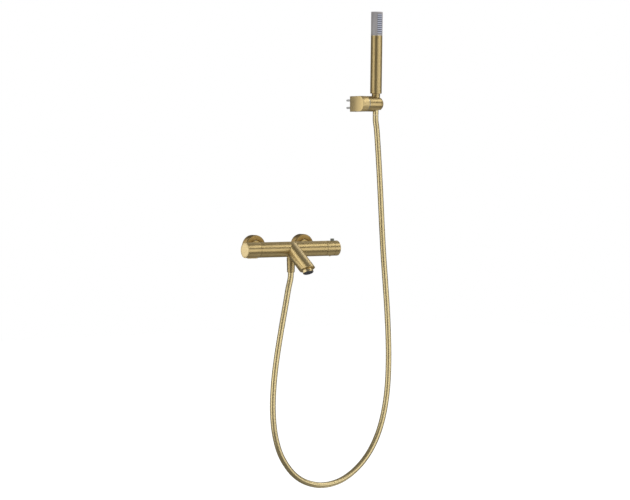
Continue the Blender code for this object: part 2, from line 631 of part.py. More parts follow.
def make_flow_side(places, mats):
    """The left end: the flow and diverter cartridge with its ceramic discs, and its knob."""
    end, knob = places["left_end"], places["flow_knob"]
    shoulder = -(LOCK_RING_INSET + LOCK_RING_LENGTH + GAP)
    tail = shoulder - FLOW_CARTRIDGE_LENGTH
    cartridge = turned("flow_cartridge", cartridge_outline(FLOW_CAVITY_DIAMETER, FLOW_CARTRIDGE_LENGTH), MID_SIDES,
                       end, mats["plastic"])
    cut(cartridge, port_mesh(-(BODY_LENGTH - INLET_SPACING) / 2), end)
    lock_ring("flow_lock_ring", end, mats["brass"])

    disc = FLOW_CAVITY_DIAMETER / 2 - GAP
    carrier_end = tail + DISC_THICKNESS + GAP
    carrier = carrier_end + DISC_THICKNESS
    spindle_tail = [(0.0, carrier_end), (disc, carrier_end), (disc, carrier), (SPINDLE_DIAMETER / 2, carrier)]
    turned("flow_spindle", spindle_outline(spindle_tail), SMALL_SIDES, knob, mats["brass"])
    ceramic_disc("flow_moving_disc", disc, tail, tail + DISC_THICKNESS, knob, mats["ceramic"])
    fixed_top = tail - GAP
    wide = CARTRIDGE_BORE / 2 - GAP
    ceramic_disc("flow_fixed_disc", wide, fixed_top - DISC_THICKNESS, fixed_top, end, mats["ceramic"])
    seal = ring(wide, BASE_SEAL_BORE / 2, -FLOW_BORE_DEPTH + GAP, fixed_top - DISC_THICKNESS - GAP)
    turned("flow_base_seal", seal, SMALL_SIDES, end, mats["rubber"])

    shell = turned("flow_knob", knob_outline(groove=False), BIG_SIDES, knob, mats["brushed_gold"])
    far = knob_stations()["end"] - RIB_FROM_END
    rib = block_mesh((-RIB_WIDTH / 2, -BAR_DIAMETER / 2 - RIB_HEIGHT, far - RIB_LENGTH),
                     (RIB_WIDTH / 2, -BAR_DIAMETER / 2 + RIB_HEIGHT, far))
    bmesh.ops.bevel(rib, geom=[e for e in rib.edges if all(v.co.y < -BAR_DIAMETER / 2 for v in e.verts)],
                    offset=RIB_HEIGHT / 2, segments=1, affect="EDGES")
    join(shell, rib, knob)
    knob_fixings("flow_knob", knob, mats)


def make_thermostat_side(places, mats):
    """The right end: the thermostatic cartridge, the temperature knob and its safety button."""
    end, knob, slide = places["right_end"], places["temperature_knob"], places["thermostat_slide"]
    housing = turned("thermostat_housing", cartridge_outline(THERMOSTAT_CAVITY_DIAMETER, THERMOSTAT_HOUSING_LENGTH),
                     MID_SIDES, end, mats["plastic"])
    inlet = -(BODY_LENGTH - INLET_SPACING) / 2
    for height in (inlet, 1.9 * inlet):
        cut(housing, port_mesh(height), end)
    lock_ring("thermostat_lock_ring", end, mats["brass"])

    roof = -(LOCK_RING_INSET + LOCK_RING_LENGTH + GAP + CARTRIDGE_ROOF)
    flange_top = roof - GAP
    flange_end = flange_top - SPINDLE_FLANGE_LENGTH
    stem_end = flange_end - SPINDLE_STEM_LENGTH
    stem, flange = SPINDLE_STEM_DIAMETER / 2, SPINDLE_FLANGE_DIAMETER / 2
    tail = [(0.0, stem_end), (stem, stem_end), (stem, flange_end), (flange, flange_end), (flange, flange_top),
            (SPINDLE_DIAMETER / 2, flange_top)]
    turned("thermostat_spindle", spindle_outline(tail), SMALL_SIDES, knob, mats["brass"])

    slider_end = -SLIDER_START - SLIDER_LENGTH
    cup_floor = -SLIDER_START - SLIDER_ROOF
    outer, cup = THERMOSTAT_CAVITY_DIAMETER / 2 - GAP, SLIDER_CUP_DIAMETER / 2
    slider = [(stem + GAP, -SLIDER_START), (outer, -SLIDER_START), (outer, slider_end), (cup, slider_end),
              (cup, cup_floor), (stem + GAP, cup_floor)]
    turned("thermostat_slider", slider, MID_SIDES, slide, mats["plastic"])
    head, waist = cup - GAP, ELEMENT_BODY_DIAMETER / 2
    nose = slider_end - ELEMENT_BODY_LENGTH
    element = [(0.0, nose), (waist * 0.6, nose), (waist, nose + 0.002), (waist, slider_end), (head, slider_end),
               (head, cup_floor - GAP), (0.0, cup_floor - GAP)]
    turned("thermostat_element", element, SMALL_SIDES, slide, mats["copper"])
    wire = RETURN_SPRING_WIRE / 2
    low, high = -THERMOSTAT_BORE_DEPTH + wire + GAP, slider_end - wire - GAP
    spring = coil_points(RETURN_SPRING_DIAMETER, low, high, RETURN_SPRING_TURNS)
    to_world = end.matrix_world
    tube_curve("thermostat_spring", [to_world @ p for p in spring], wire, 1, mats["steel"])

    stop = ring(STOP_RING_DIAMETER / 2, NECK_DIAMETER / 2 + GAP, GAP, GAP + STOP_RING_LENGTH)
    turned("temperature_stop_ring", stop, MID_SIDES, end, mats["plastic"])

    shell = turned("temperature_knob", knob_outline(groove=True), BIG_SIDES, knob, mats["brushed_gold"])
    far = knob_stations()["end"]
    index = turned_mesh(rod(INDEX_DIAMETER / 2, BAR_DIAMETER / 2 - INDEX_HEIGHT, BAR_DIAMETER / 2 + INDEX_HEIGHT),
                        TINY_SIDES)
    bmesh.ops.rotate(index, verts=index.verts, cent=(0, 0, 0), matrix=Matrix.Rotation(math.pi / 2, 3, "X"))
    bmesh.ops.translate(index, verts=index.verts, vec=(0, 0, far - INDEX_FROM_END))
    join(shell, index, knob)
    hole = turned_mesh(rod(BUTTON_DIAMETER / 2 + GAP, HUB_DIAMETER, BAR_DIAMETER), SMALL_SIDES)
    cut(shell, hole, places["button"])
    knob_fixings("temperature_knob", knob, mats)

    button = [(0.0, BUTTON_FLANGE_TOP - BUTTON_FLANGE_THICKNESS),
              (BUTTON_FLANGE_DIAMETER / 2, BUTTON_FLANGE_TOP - BUTTON_FLANGE_THICKNESS),
              (BUTTON_FLANGE_DIAMETER / 2, BUTTON_FLANGE_TOP), (BUTTON_DIAMETER / 2, BUTTON_FLANGE_TOP),
              (BUTTON_DIAMETER / 2, BAR_DIAMETER / 2 + BUTTON_PROUD - KNOB_EDGE),
              (BUTTON_DIAMETER / 2 - KNOB_EDGE, BAR_DIAMETER / 2 + BUTTON_PROUD),
              (0.0, BAR_DIAMETER / 2 + BUTTON_PROUD)]
    turned("safety_button", button, SMALL_SIDES, places["button"], mats["button_grey"])
    thin = BUTTON_SPRING_WIRE / 2
    low = HUB_DIAMETER / 2 + thin + GAP
    high = BUTTON_FLANGE_TOP - BUTTON_FLANGE_THICKNESS - thin - GAP
    spring = coil_points(BUTTON_SPRING_DIAMETER, low, high, BUTTON_SPRING_TURNS)
    to_world = places["button"].matrix_world
    tube_curve("safety_button_spring", [to_world @ p for p in spring], thin, 1, mats["steel"])


def make_aerator(places, mats):
    """The aerator in the spout's oblique end."""
    tip = places["spout_end"]
    thread = AERATOR_THREAD_BORE / 2 - GAP
    seal_low = -AERATOR_THREAD_DEPTH + GAP
    thread_low = seal_low + AERATOR_SEAL_THICKNESS + GAP
    outer, recess, bore = AERATOR_DIAMETER / 2, AERATOR_RECESS / 2, AERATOR_BORE / 2
    recess_floor = AERATOR_LENGTH - AERATOR_RECESS_DEPTH
    housing = [(bore, thread_low), (thread, thread_low), (thread, GAP), (outer, GAP), (outer, AERATOR_LENGTH),
               (recess, AERATOR_LENGTH), (recess, recess_floor), (bore, recess_floor)]
    turned("aerator_housing", housing, MID_SIDES, tip, mats["bright_gold"])
    insert = [(0.0, thread_low), (bore - GAP, thread_low), (bore - GAP, recess_floor + GAP),
              (recess - GAP, recess_floor + GAP), (recess - GAP, AERATOR_LENGTH + AERATOR_PROUD),
              (0.0, AERATOR_LENGTH + AERATOR_PROUD)]
    turned("aerator_insert", insert, MID_SIDES, tip, mats["dark_plastic"])
    seal = ring(thread, AERATOR_BORE / 2, seal_low, seal_low + AERATOR_SEAL_THICKNESS)
    turned("aerator_seal", seal, SMALL_SIDES, tip, mats["rubber"])


def make_lower_hose_end(places, mats):
    """The hose outlet: nipple, washer, ferrule and the long tapered nut."""
    at, down = outlet_stations(), places["outlet"]
    thread, bore = HALF_INCH_THREAD / 2, NIPPLE_BORE / 2
    inset = OUTLET_HOLE / 2 - GAP
    nipple = [(bore, OUTLET_BOSS_DEPTH - NIPPLE_INSET), (inset, OUTLET_BOSS_DEPTH - NIPPLE_INSET),
              (inset, at["nipple_face"]), (thread, at["nipple_face"]), (thread, at["nipple_end"]),
              (bore, at["nipple_end"])]
    turned("shower_outlet_nipple", nipple, SMALL_SIDES, down, mats["brass"])
    washer = ring(thread, HOSE_WASHER_BORE / 2, at["washer"], at["washer"] + HOSE_WASHER_THICKNESS)
    turned("lower_hose_washer", washer, SMALL_SIDES, down, mats["rubber"])
    sleeve, hollow = HOSE_DIAMETER / 2, FERRULE_BORE / 2
    ferrule = [(hollow, at["ferrule"]), (thread, at["ferrule"]), (thread, at["sleeve"]), (sleeve, at["sleeve"]),
               (sleeve, at["hose"] - GAP), (hollow, at["hose"] - GAP)]
    turned("lower_hose_ferrule", ferrule, SMALL_SIDES, down, mats["brass"])
    top, end = LOWER_NUT_TOP_DIAMETER / 2, LOWER_NUT_END_DIAMETER / 2
    shoulder = at["sleeve"] + GAP
    nut_end = at["nut"] + LOWER_NUT_LENGTH
    nut = [(thread + GAP, at["nut"]), (top, at["nut"]), (end, nut_end), (sleeve + GAP, nut_end),
           (sleeve + GAP, shoulder), (thread + GAP, shoulder)]
    turned("lower_hose_nut", nut, MID_SIDES, down, mats["brushed_gold"])


# ================================================================== hand shower and holder
def handset_stations():
    """Heights along the hand shower, from the swivel axis."""
    bottom = HANDSET_BOTTOM
    top = bottom + HANDSET_LENGTH
    spray = top - SPRAY_LENGTH
    thread_end = bottom - CONNECTOR_THREAD_LENGTH
    washer = thread_end - GAP - HOSE_WASHER_THICKNESS
    ferrule = washer - GAP
    sleeve = ferrule - FERRULE_FLANGE
    nut_top = bottom - GAP
    return {"bottom": bottom, "top": top, "spray": spray, "thread_end": thread_end, "washer": washer,
            "ferrule": ferrule, "sleeve": sleeve, "nut_top": nut_top, "nut_end": nut_top - UPPER_NUT_LENGTH,
            "sleeve_end": sleeve - UPPER_SLEEVE_LENGTH}


def upper_nut_radius(height):
    """The upper nut's outer radius at a height above the swivel axis."""
    at = handset_stations()
    share = (height - at["nut_end"]) / UPPER_NUT_LENGTH
    return (UPPER_NUT_END_DIAMETER + (UPPER_NUT_TOP_DIAMETER - UPPER_NUT_END_DIAMETER) * share) / 2


def make_upper_hose_end(places, mats):
    """The hand shower's end of the hose: tapered nut, washer and long crimped sleeve."""
    at = handset_stations()
    handset, hose_end = places["handset"], places["hose_end"]
    thread, sleeve, hollow = HALF_INCH_THREAD / 2, HOSE_DIAMETER / 2, FERRULE_BORE / 2
    shoulder = at["sleeve"] - GAP
    nut = [(sleeve + GAP, at["nut_end"]), (upper_nut_radius(at["nut_end"]), at["nut_end"]),
           (upper_nut_radius(at["nut_top"]), at["nut_top"]), (thread + GAP, at["nut_top"]),
           (thread + GAP, shoulder), (sleeve + GAP, shoulder)]
    turned("upper_hose_nut", nut, MID_SIDES, handset, mats["brushed_gold"])
    washer = ring(thread, HOSE_WASHER_BORE / 2, at["washer"], at["washer"] + HOSE_WASHER_THICKNESS)
    turned("upper_hose_washer", washer, SMALL_SIDES, hose_end, mats["rubber"])
    ferrule = [(hollow, at["sleeve_end"]), (sleeve, at["sleeve_end"]), (sleeve, at["sleeve"]),
               (thread, at["sleeve"]), (thread, at["ferrule"]), (hollow, at["ferrule"])]
    turned("upper_hose_sleeve", ferrule, SMALL_SIDES, hose_end, mats["hose_gold"])


def make_handset(places, mats):
    """The stick hand shower: handle tube, connector, inner water tube, spray head and nozzle strip."""
    at, hand = handset_stations(), places["handset"]
    outer, inner = HANDSET_DIAMETER / 2, HANDSET_DIAMETER / 2 - HANDSET_WALL
    thread = HALF_INCH_THREAD / 2
    floor_top = at["bottom"] + HANDSET_FLOOR
    tube = [(thread + GAP, at["bottom"]), (outer, at["bottom"]), (outer, at["spray"] - GAP),
            (inner, at["spray"] - GAP), (inner, floor_top), (thread + GAP, floor_top)]
    turned("handset_tube", tube, BIG_SIDES, hand, mats["brushed_gold"])

    flange_low = floor_top + GAP
    flange_top = flange_low + CONNECTOR_FLANGE_LENGTH
    spigot_top = flange_top + CONNECTOR_SPIGOT_LENGTH
    spigot, bore = WATER_TUBE_DIAMETER / 2, CONNECTOR_BORE / 2
    connector = [(bore, at["thread_end"]), (thread, at["thread_end"]), (thread, flange_low),
                 (inner - GAP, flange_low), (inner - GAP, flange_top), (spigot, flange_top), (spigot, spigot_top),
                 (bore, spigot_top)]
    turned("handset_connector", connector, SMALL_SIDES, hand, mats["brass"])
    spigot_low = at["spray"] - SPRAY_SPIGOT_LENGTH
    water = ring(WATER_TUBE_DIAMETER / 2, WATER_TUBE_BORE / 2, spigot_top + GAP, spigot_low - GAP)
    turned("handset_water_tube", water, SMALL_SIDES, hand, mats["plastic"])

    cavity = SPRAY_CAVITY_DIAMETER / 2
    cavity_top = at["top"] - SPRAY_ROOF
    head_outline = [(cavity, spigot_low), (inner - GAP, spigot_low), (inner - GAP, at["spray"]), (outer, at["spray"]),
                    (outer, at["top"] - SPRAY_EDGE), (outer - SPRAY_EDGE, at["top"]), (0.0, at["top"]),
                    (0.0, cavity_top), (cavity, cavity_top)]
    head = add("spray_head", revolved_with_core(head_outline, BIG_SIDES), hand, mats["spray_grey"])
    strip_top = at["top"] - STRIP_FROM_TOP
    strip_low = strip_top - STRIP_HEIGHT
    half = STRIP_WIDTH / 2
    cut(head, block_mesh((-half, -HANDSET_DIAMETER, strip_low), (half, -STRIP_BACK, strip_top)), hand)
    feed = FEED_SLOT_WIDTH / 2
    cut(head, block_mesh((-feed, -STRIP_BACK - 0.001, strip_low + FEED_SLOT_WIDTH),
                         (feed, 0.0, cavity_top - FEED_SLOT_WIDTH)), hand)

    half -= GAP
    span = math.asin(half / outer)
    arc = [(outer * math.sin(a), -outer * math.cos(a)) for a in (span * (k / 4 - 1) for k in range(9))]
    profile = arc + [(half, -STRIP_BACK - GAP), (-half, -STRIP_BACK - GAP)]
    add("nozzle_strip", prism_mesh(profile, strip_low + GAP, strip_top - GAP), hand, mats["nozzle_grey"])


def revolved_with_core(outline, sides):
    """Spin an outline whose two ends may lie off the axis on one side and on it at the other."""
    bm = bmesh.new()
    verts = [bm.verts.new((radius, 0.0, height)) for radius, height in outline]
    pairs = [pair for pair in zip(verts, verts[1:]) if pair[0].co.x > 0.0 or pair[1].co.x > 0.0]
    pairs.append((verts[-1], verts[0]))
    edges = [bm.edges.new(pair) for pair in pairs]
    bmesh.ops.spin(bm, geom=verts + edges, axis=(0, 0, 1), cent=(0, 0, 0), angle=math.tau, steps=sides,
                   use_merge=True)
    bmesh.ops.remove_doubles(bm, verts=bm.verts, dist=1e-6)
    return bm


def make_holder(places, mats):
    """The swivel holder: barrel with a domed end, liner, pivot bolt, washer and friction ring."""
    swivel, along = places["holder"], places["holder_axis"]
    radius = HOLDER_DIAMETER / 2
    ring_start = -BLOCK_TO_HANDSET + GAP
    ring_end = ring_start + FRICTION_RING_THICKNESS
    barrel_start = ring_end + GAP
    dome = [(radius * math.cos(a), radius * math.sin(a)) for a in (math.radians(10 * k) for k in range(9))]
    outline = [(0.0, barrel_start), (radius - KNOB_EDGE, barrel_start), (radius, barrel_start + KNOB_EDGE)]
    barrel = turned("holder_barrel", outline + dome + [(0.0, radius)], BIG_SIDES, along, mats["brushed_gold"])
    liner_radius = upper_nut_radius(LINER_HEIGHT / 2) + GAP + LINER_WALL
    seat = liner_radius + GAP
    cut(barrel, turned_mesh(rod(seat, -HOLDER_DIAMETER, HOLDER_DIAMETER), MID_SIDES), swivel)
    slot = HOSE_SLOT_WIDTH / 2
    cut(barrel, block_mesh((0.0, -slot, -HOLDER_DIAMETER), (HOLDER_DIAMETER, slot, HOLDER_DIAMETER)), swivel)
    head_end = -(seat + PIVOT_HEAD_INSET)
    head_start = head_end - PIVOT_HEAD_LENGTH
    washer_end = head_start - GAP
    washer_start = washer_end - PIVOT_WASHER_THICKNESS
    floor = washer_start - GAP
    shank, head = PIVOT_BOLT_DIAMETER / 2, PIVOT_HEAD_DIAMETER / 2
    hole = [(0.0, barrel_start - 0.01), (shank + GAP, barrel_start - 0.01), (shank + GAP, floor),
            (head + 2 * GAP, floor), (head + 2 * GAP, 0.0), (0.0, 0.0)]
    cut(barrel, turned_mesh(hole, SMALL_SIDES), along)

    low, high = -LINER_HEIGHT / 2, LINER_HEIGHT / 2
    liner_outline = [(upper_nut_radius(low) + GAP, low), (liner_radius, low), (liner_radius, high),
                     (upper_nut_radius(high) + GAP, high)]
    liner = turned("holder_liner", liner_outline, MID_SIDES, swivel, mats["dark_plastic"])
    cut(liner, block_mesh((0.0, -slot, -HOLDER_DIAMETER), (HOLDER_DIAMETER, slot, HOLDER_DIAMETER)), swivel)

    fixed = places["bracket_axis"]
    tip = -BLOCK_TO_HANDSET - PIVOT_REACH
    bolt = [(0.0, tip), (shank, tip), (shank, head_start), (head, head_start), (head, head_end), (0.0, head_end)]
    turned("pivot_bolt", bolt, SMALL_SIDES, fixed, mats["steel"])
    washer = ring(head, shank + GAP, washer_start, washer_end)
    turned("pivot_washer", washer, SMALL_SIDES, fixed, mats["steel"])
    friction = ring(FRICTION_RING_DIAMETER / 2, shank + GAP, ring_start, ring_end)
    turned("friction_ring", friction, MID_SIDES, fixed, mats["pale_ring"])


def make_bracket(places, mats):
    """The wall block, its hidden wall plate, screws, plugs and grub screw."""
    axis = places["bracket_axis"]
    radius = HOLDER_DIAMETER / 2
    block_low, block_high = -BLOCK_TO_HANDSET - BLOCK_THICKNESS, -BLOCK_TO_HANDSET
    front = [(radius * math.sin(a), -radius * math.cos(a)) for a in (math.radians(15 * k - 90) for k in range(13))]
    profile = [(-radius, HOLDER_PROJECTION)] + front + [(radius, HOLDER_PROJECTION)]
    side_on = [(y, -x) for x, y in profile]
    block = add("bracket_block", prism_mesh(side_on, block_low, block_high), places["bracket_side"],
                mats["brushed_gold"])
    wide, tall = PLATE_WIDTH / 2 + GAP, PLATE_HEIGHT / 2 + GAP
    wall = places["bracket_wall"]
    cut(block, block_mesh((-wide, -tall, -0.01), (wide, tall, POCKET_DEPTH)), wall)
    shank = PIVOT_BOLT_DIAMETER / 2 + GAP
    cut(block, turned_mesh(rod(shank, block_high - PIVOT_REACH - GAP, block_high + 0.01), SMALL_SIDES), axis)

    plate = add("bracket_wall_plate", block_mesh((-PLATE_WIDTH / 2, -PLATE_HEIGHT / 2, 0.0),
                                                 (PLATE_WIDTH / 2, PLATE_HEIGHT / 2, PLATE_THICKNESS)), wall,
                mats["steel"])
    for name, side in (("upper", 1), ("lower", -1)):
        spot = frame(f"{name}_screw_place", (0, side * SCREW_SPACING / 2, 0), (0, 0, 1), (1, 0, 0), wall)
        hole = WALL_SCREW_DIAMETER / 2 + GAP
        cut(plate, turned_mesh(rod(hole, -0.01, PLATE_THICKNESS + 0.01), TINY_SIDES), spot)
        head_low = PLATE_THICKNESS + GAP
        screw = [(0.0, -WALL_SCREW_LENGTH), (WALL_SCREW_DIAMETER / 2, -WALL_SCREW_LENGTH),
                 (WALL_SCREW_DIAMETER / 2, head_low), (WALL_SCREW_HEAD / 2, head_low),
                 (WALL_SCREW_HEAD / 2, head_low + WALL_SCREW_HEAD_LENGTH), (0.0, head_low + WALL_SCREW_HEAD_LENGTH)]
        turned(f"bracket_screw_{name}", screw, TINY_SIDES, spot, mats["steel"])
        plug = [(0.0, -GAP - WALL_PLUG_LENGTH), (WALL_PLUG_DIAMETER / 2, -GAP - WALL_PLUG_LENGTH),
                (WALL_PLUG_DIAMETER / 2, -GAP), (hole, -GAP), (hole, -WALL_SCREW_LENGTH - GAP),
                (0.0, -WALL_SCREW_LENGTH - GAP)]
        turned(f"wall_plug_{name}", plug, TINY_SIDES, spot, mats["dark_plastic"])

    grub_place = frame("grub_screw_place", (0, 0, PLATE_THICKNESS / 2), (0, -1, 0), (1, 0, 0), wall)
    plate_edge = PLATE_HEIGHT / 2
    hole = rod(GRUB_DIAMETER / 2 + GAP, plate_edge, radius + 0.01)
    cut(block, turned_mesh(hole, TINY_SIDES), grub_place)
    turned("bracket_grub_screw", rod(GRUB_DIAMETER / 2, plate_edge + GAP, radius - GRUB_INSET), TINY_SIDES,
           grub_place, mats["steel"])


def make_places():
    """The frames that the pieces are built in."""
    bar = Vector((0.0, -BAR_PROJECTION, 0.0))
    half = BODY_LENGTH / 2
    places = {}
    for side, sign in (("left", -1), ("right", 1)):
        places[f"{side}_end"] = frame(f"{side}_end", bar + Vector((sign * half, 0, 0)), (sign, 0, 0), (0, sign, 0))
        spot = Vector((sign * INLET_SPACING / 2, 0.0, 0.0))
        places[f"{side}_inlet"] = frame(f"{side}_inlet", spot, (0, -1, 0), (1, 0, 0))
        places[f"{side}_wall"] = frame(f"{side}_wall", spot + Vector((0, 0, FLANGE_RISE)), (0, -1, 0), (1, 0, 0))
    turning = {"flow_knob": "left_end", "temperature_knob": "right_end", "thermostat_slide": "right_end"}
    for name, end in turning.items():
        places[name] = frame(f"{name}_axis", (0, 0, 0), (0, 0, 1), (1, 0, 0), places[end])
    button_out = knob_stations()["end"] - BUTTON_FROM_END
    places["button"] = frame("button_axis", (0, 0, button_out), (0, 1, 0), (0, 0, 1), places["temperature_knob"])

    along = Vector((0.0, -math.cos(SPOUT_DROOP), -math.sin(SPOUT_DROOP)))
    above = along.cross(Vector((1.0, 0.0, 0.0)))
    root = bar + SPOUT_RISE * above
    places["spout"] = frame("spout_axis", root, along, (1, 0, 0))
    normal = along * math.cos(SPOUT_END_ANGLE) - above * math.sin(SPOUT_END_ANGLE)
    places["spout_end"] = frame("spout_end_axis", root + SPOUT_LENGTH * along, normal, (1, 0, 0))
    places["outlet"] = frame("outlet_axis", bar + Vector((OUTLET_SIDE, OUTLET_BACK, 0.0)), (0, 0, -1), (1, 0, 0))

    pivot = Vector((HOLDER_X, -HOLDER_PROJECTION, HOLDER_Z))
    up = (0.0, -math.sin(HOLDER_LEAN), math.cos(HOLDER_LEAN))
    places["holder"] = frame("holder_pivot", pivot, up, (1, 0, 0))
    places["hose_end"] = frame("hose_end_axis", (0, 0, 0), (0, 0, 1), (1, 0, 0), places["holder"])
    places["handset"] = frame("handset_axis", (0, 0, 0), (0, 0, 1), (1, 0, 0), places["hose_end"])
    places["holder_axis"] = frame("holder_swivel_axis", (0, 0, 0), (1, 0, 0), (0, 1, 0), places["holder"])
    places["bracket_axis"] = frame("bracket_axis", pivot, (1, 0, 0), (0, 1, 0))
    places["bracket_side"] = frame("bracket_side", pivot, (1, 0, 0), (0, 1, 0))
    block_middle = HOLDER_X - BLOCK_TO_HANDSET - BLOCK_THICKNESS / 2
    places["bracket_wall"] = frame("bracket_wall", (block_middle, 0.0, HOLDER_Z), (0, -1, 0), (1, 0, 0))
    bpy.context.view_layer.update()
    return places


def make_materials():
    """One plain material for each finish."""
    return {
        "brushed_gold": material("brushed_gold", (0.46, 0.33, 0.13), 0.34, 1.0),
        "bright_gold": material("bright_gold", (0.72, 0.58, 0.32), 0.26, 1.0),
        "hose_gold": material("hose_gold", (0.50, 0.37, 0.16), 0.24, 1.0),
        "brass": material("brass", (0.50, 0.36, 0.14), 0.40, 1.0),
        "copper": material("copper", (0.52, 0.24, 0.12), 0.35, 1.0),
        "steel": material("steel", (0.55, 0.55, 0.56), 0.35, 1.0),
        "pale_ring": material("pale_ring", (0.45, 0.46, 0.40), 0.45, 0.3),
        "plastic": material("plastic", (0.62, 0.62, 0.60), 0.5, 0.0),
        "dark_plastic": material("dark_plastic", (0.05, 0.05, 0.055), 0.5, 0.0),
        "ceramic": material("ceramic", (0.80, 0.80, 0.78), 0.25, 0.0),
        "rubber": material("rubber", (0.03, 0.03, 0.03), 0.7, 0.0),
        "spray_grey": material("spray_grey", (0.30, 0.28, 0.28), 0.45, 0.0),
        "nozzle_grey": material("nozzle_grey", (0.35, 0.38, 0.45), 0.5, 0.0),
        "button_grey": material("button_grey", (0.20, 0.22, 0.19), 0.4, 0.0),
    }


def main():
    """Build the whole mixer, the holder, the hand shower and the hose."""
    clear_scene()
    mats = make_materials()
    places = make_places()
    make_body(places, mats)
    for side in ("left", "right"):
        make_wall_union(side, places, mats)
    make_flow_side(places, mats)
    make_thermostat_side(places, mats)
    make_aerator(places, mats)
    make_lower_hose_end(places, mats)
    make_upper_hose_end(places, mats)
    make_handset(places, mats)
    make_holder(places, mats)
    make_bracket(places, mats)
    tube_curve("shower_hose", smooth_line(HOSE_ROUTE, HOSE_POINTS), HOSE_DIAMETER / 2, 2, mats["hose_gold"])


main()
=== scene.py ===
"""Visual model of a wall mounted bath mixer with a stick hand shower, its hose and a swivel wall holder.

Frame: metres, +Z up, the wall is the plane y = 0 and the room has y < 0. Each sub-assembly is a class that
holds its sizes, builds its meshes and dresses them. Each finish is a frozen dataclass that builds one
material.
"""
import json
import logging
import math
from dataclasses import dataclass, field
from enum import Enum
from typing import Iterable, Optional, Sequence

import bmesh
import bpy
from mathutils import Matrix, Vector


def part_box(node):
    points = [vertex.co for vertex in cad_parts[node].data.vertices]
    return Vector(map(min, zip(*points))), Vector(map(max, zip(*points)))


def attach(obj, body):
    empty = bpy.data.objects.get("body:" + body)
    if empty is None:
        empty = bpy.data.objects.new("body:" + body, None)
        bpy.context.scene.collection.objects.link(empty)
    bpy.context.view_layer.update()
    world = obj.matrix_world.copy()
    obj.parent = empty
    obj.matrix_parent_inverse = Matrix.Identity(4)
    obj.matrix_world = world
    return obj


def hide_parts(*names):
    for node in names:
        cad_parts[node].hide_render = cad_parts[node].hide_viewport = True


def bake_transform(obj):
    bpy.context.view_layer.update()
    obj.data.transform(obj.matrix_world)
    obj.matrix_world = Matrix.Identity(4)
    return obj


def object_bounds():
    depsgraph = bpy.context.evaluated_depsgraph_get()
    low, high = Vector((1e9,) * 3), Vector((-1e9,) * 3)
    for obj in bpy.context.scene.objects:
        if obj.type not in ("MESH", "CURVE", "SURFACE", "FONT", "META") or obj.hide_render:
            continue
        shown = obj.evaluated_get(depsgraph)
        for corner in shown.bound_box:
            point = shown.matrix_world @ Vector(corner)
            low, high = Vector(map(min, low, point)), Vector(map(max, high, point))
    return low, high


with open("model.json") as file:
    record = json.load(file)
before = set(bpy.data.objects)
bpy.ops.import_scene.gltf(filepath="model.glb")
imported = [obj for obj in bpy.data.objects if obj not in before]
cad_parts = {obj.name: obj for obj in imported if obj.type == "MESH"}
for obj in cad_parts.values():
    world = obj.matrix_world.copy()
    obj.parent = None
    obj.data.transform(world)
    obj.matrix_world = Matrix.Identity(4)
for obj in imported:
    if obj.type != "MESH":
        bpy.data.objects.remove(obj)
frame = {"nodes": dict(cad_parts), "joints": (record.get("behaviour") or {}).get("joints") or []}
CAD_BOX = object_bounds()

LOG = logging.getLogger("bath_mixer")
Colour = tuple[float, float, float]
OutlinePoint = tuple[float, float, float]      # radius, height, fillet


class Axis(Enum):
    """The direction along which a finish changes fastest."""

    X = (1.0, 0.0, 0.0)
    Y = (0.0, 1.0, 0.0)
    Z = (0.0, 0.0, 1.0)


class Side(Enum):
    """Left or right, facing the wall."""

    LEFT = -1
    RIGHT = 1

    @property
    def word(self) -> str:
        """The side's name as the frame's nodes spell it."""
        return self.name.lower()


class Cutting(Enum):
    """How one solid changes another."""

    CUT = "DIFFERENCE"
    JOIN = "UNION"
    KEEP_COMMON = "INTERSECT"


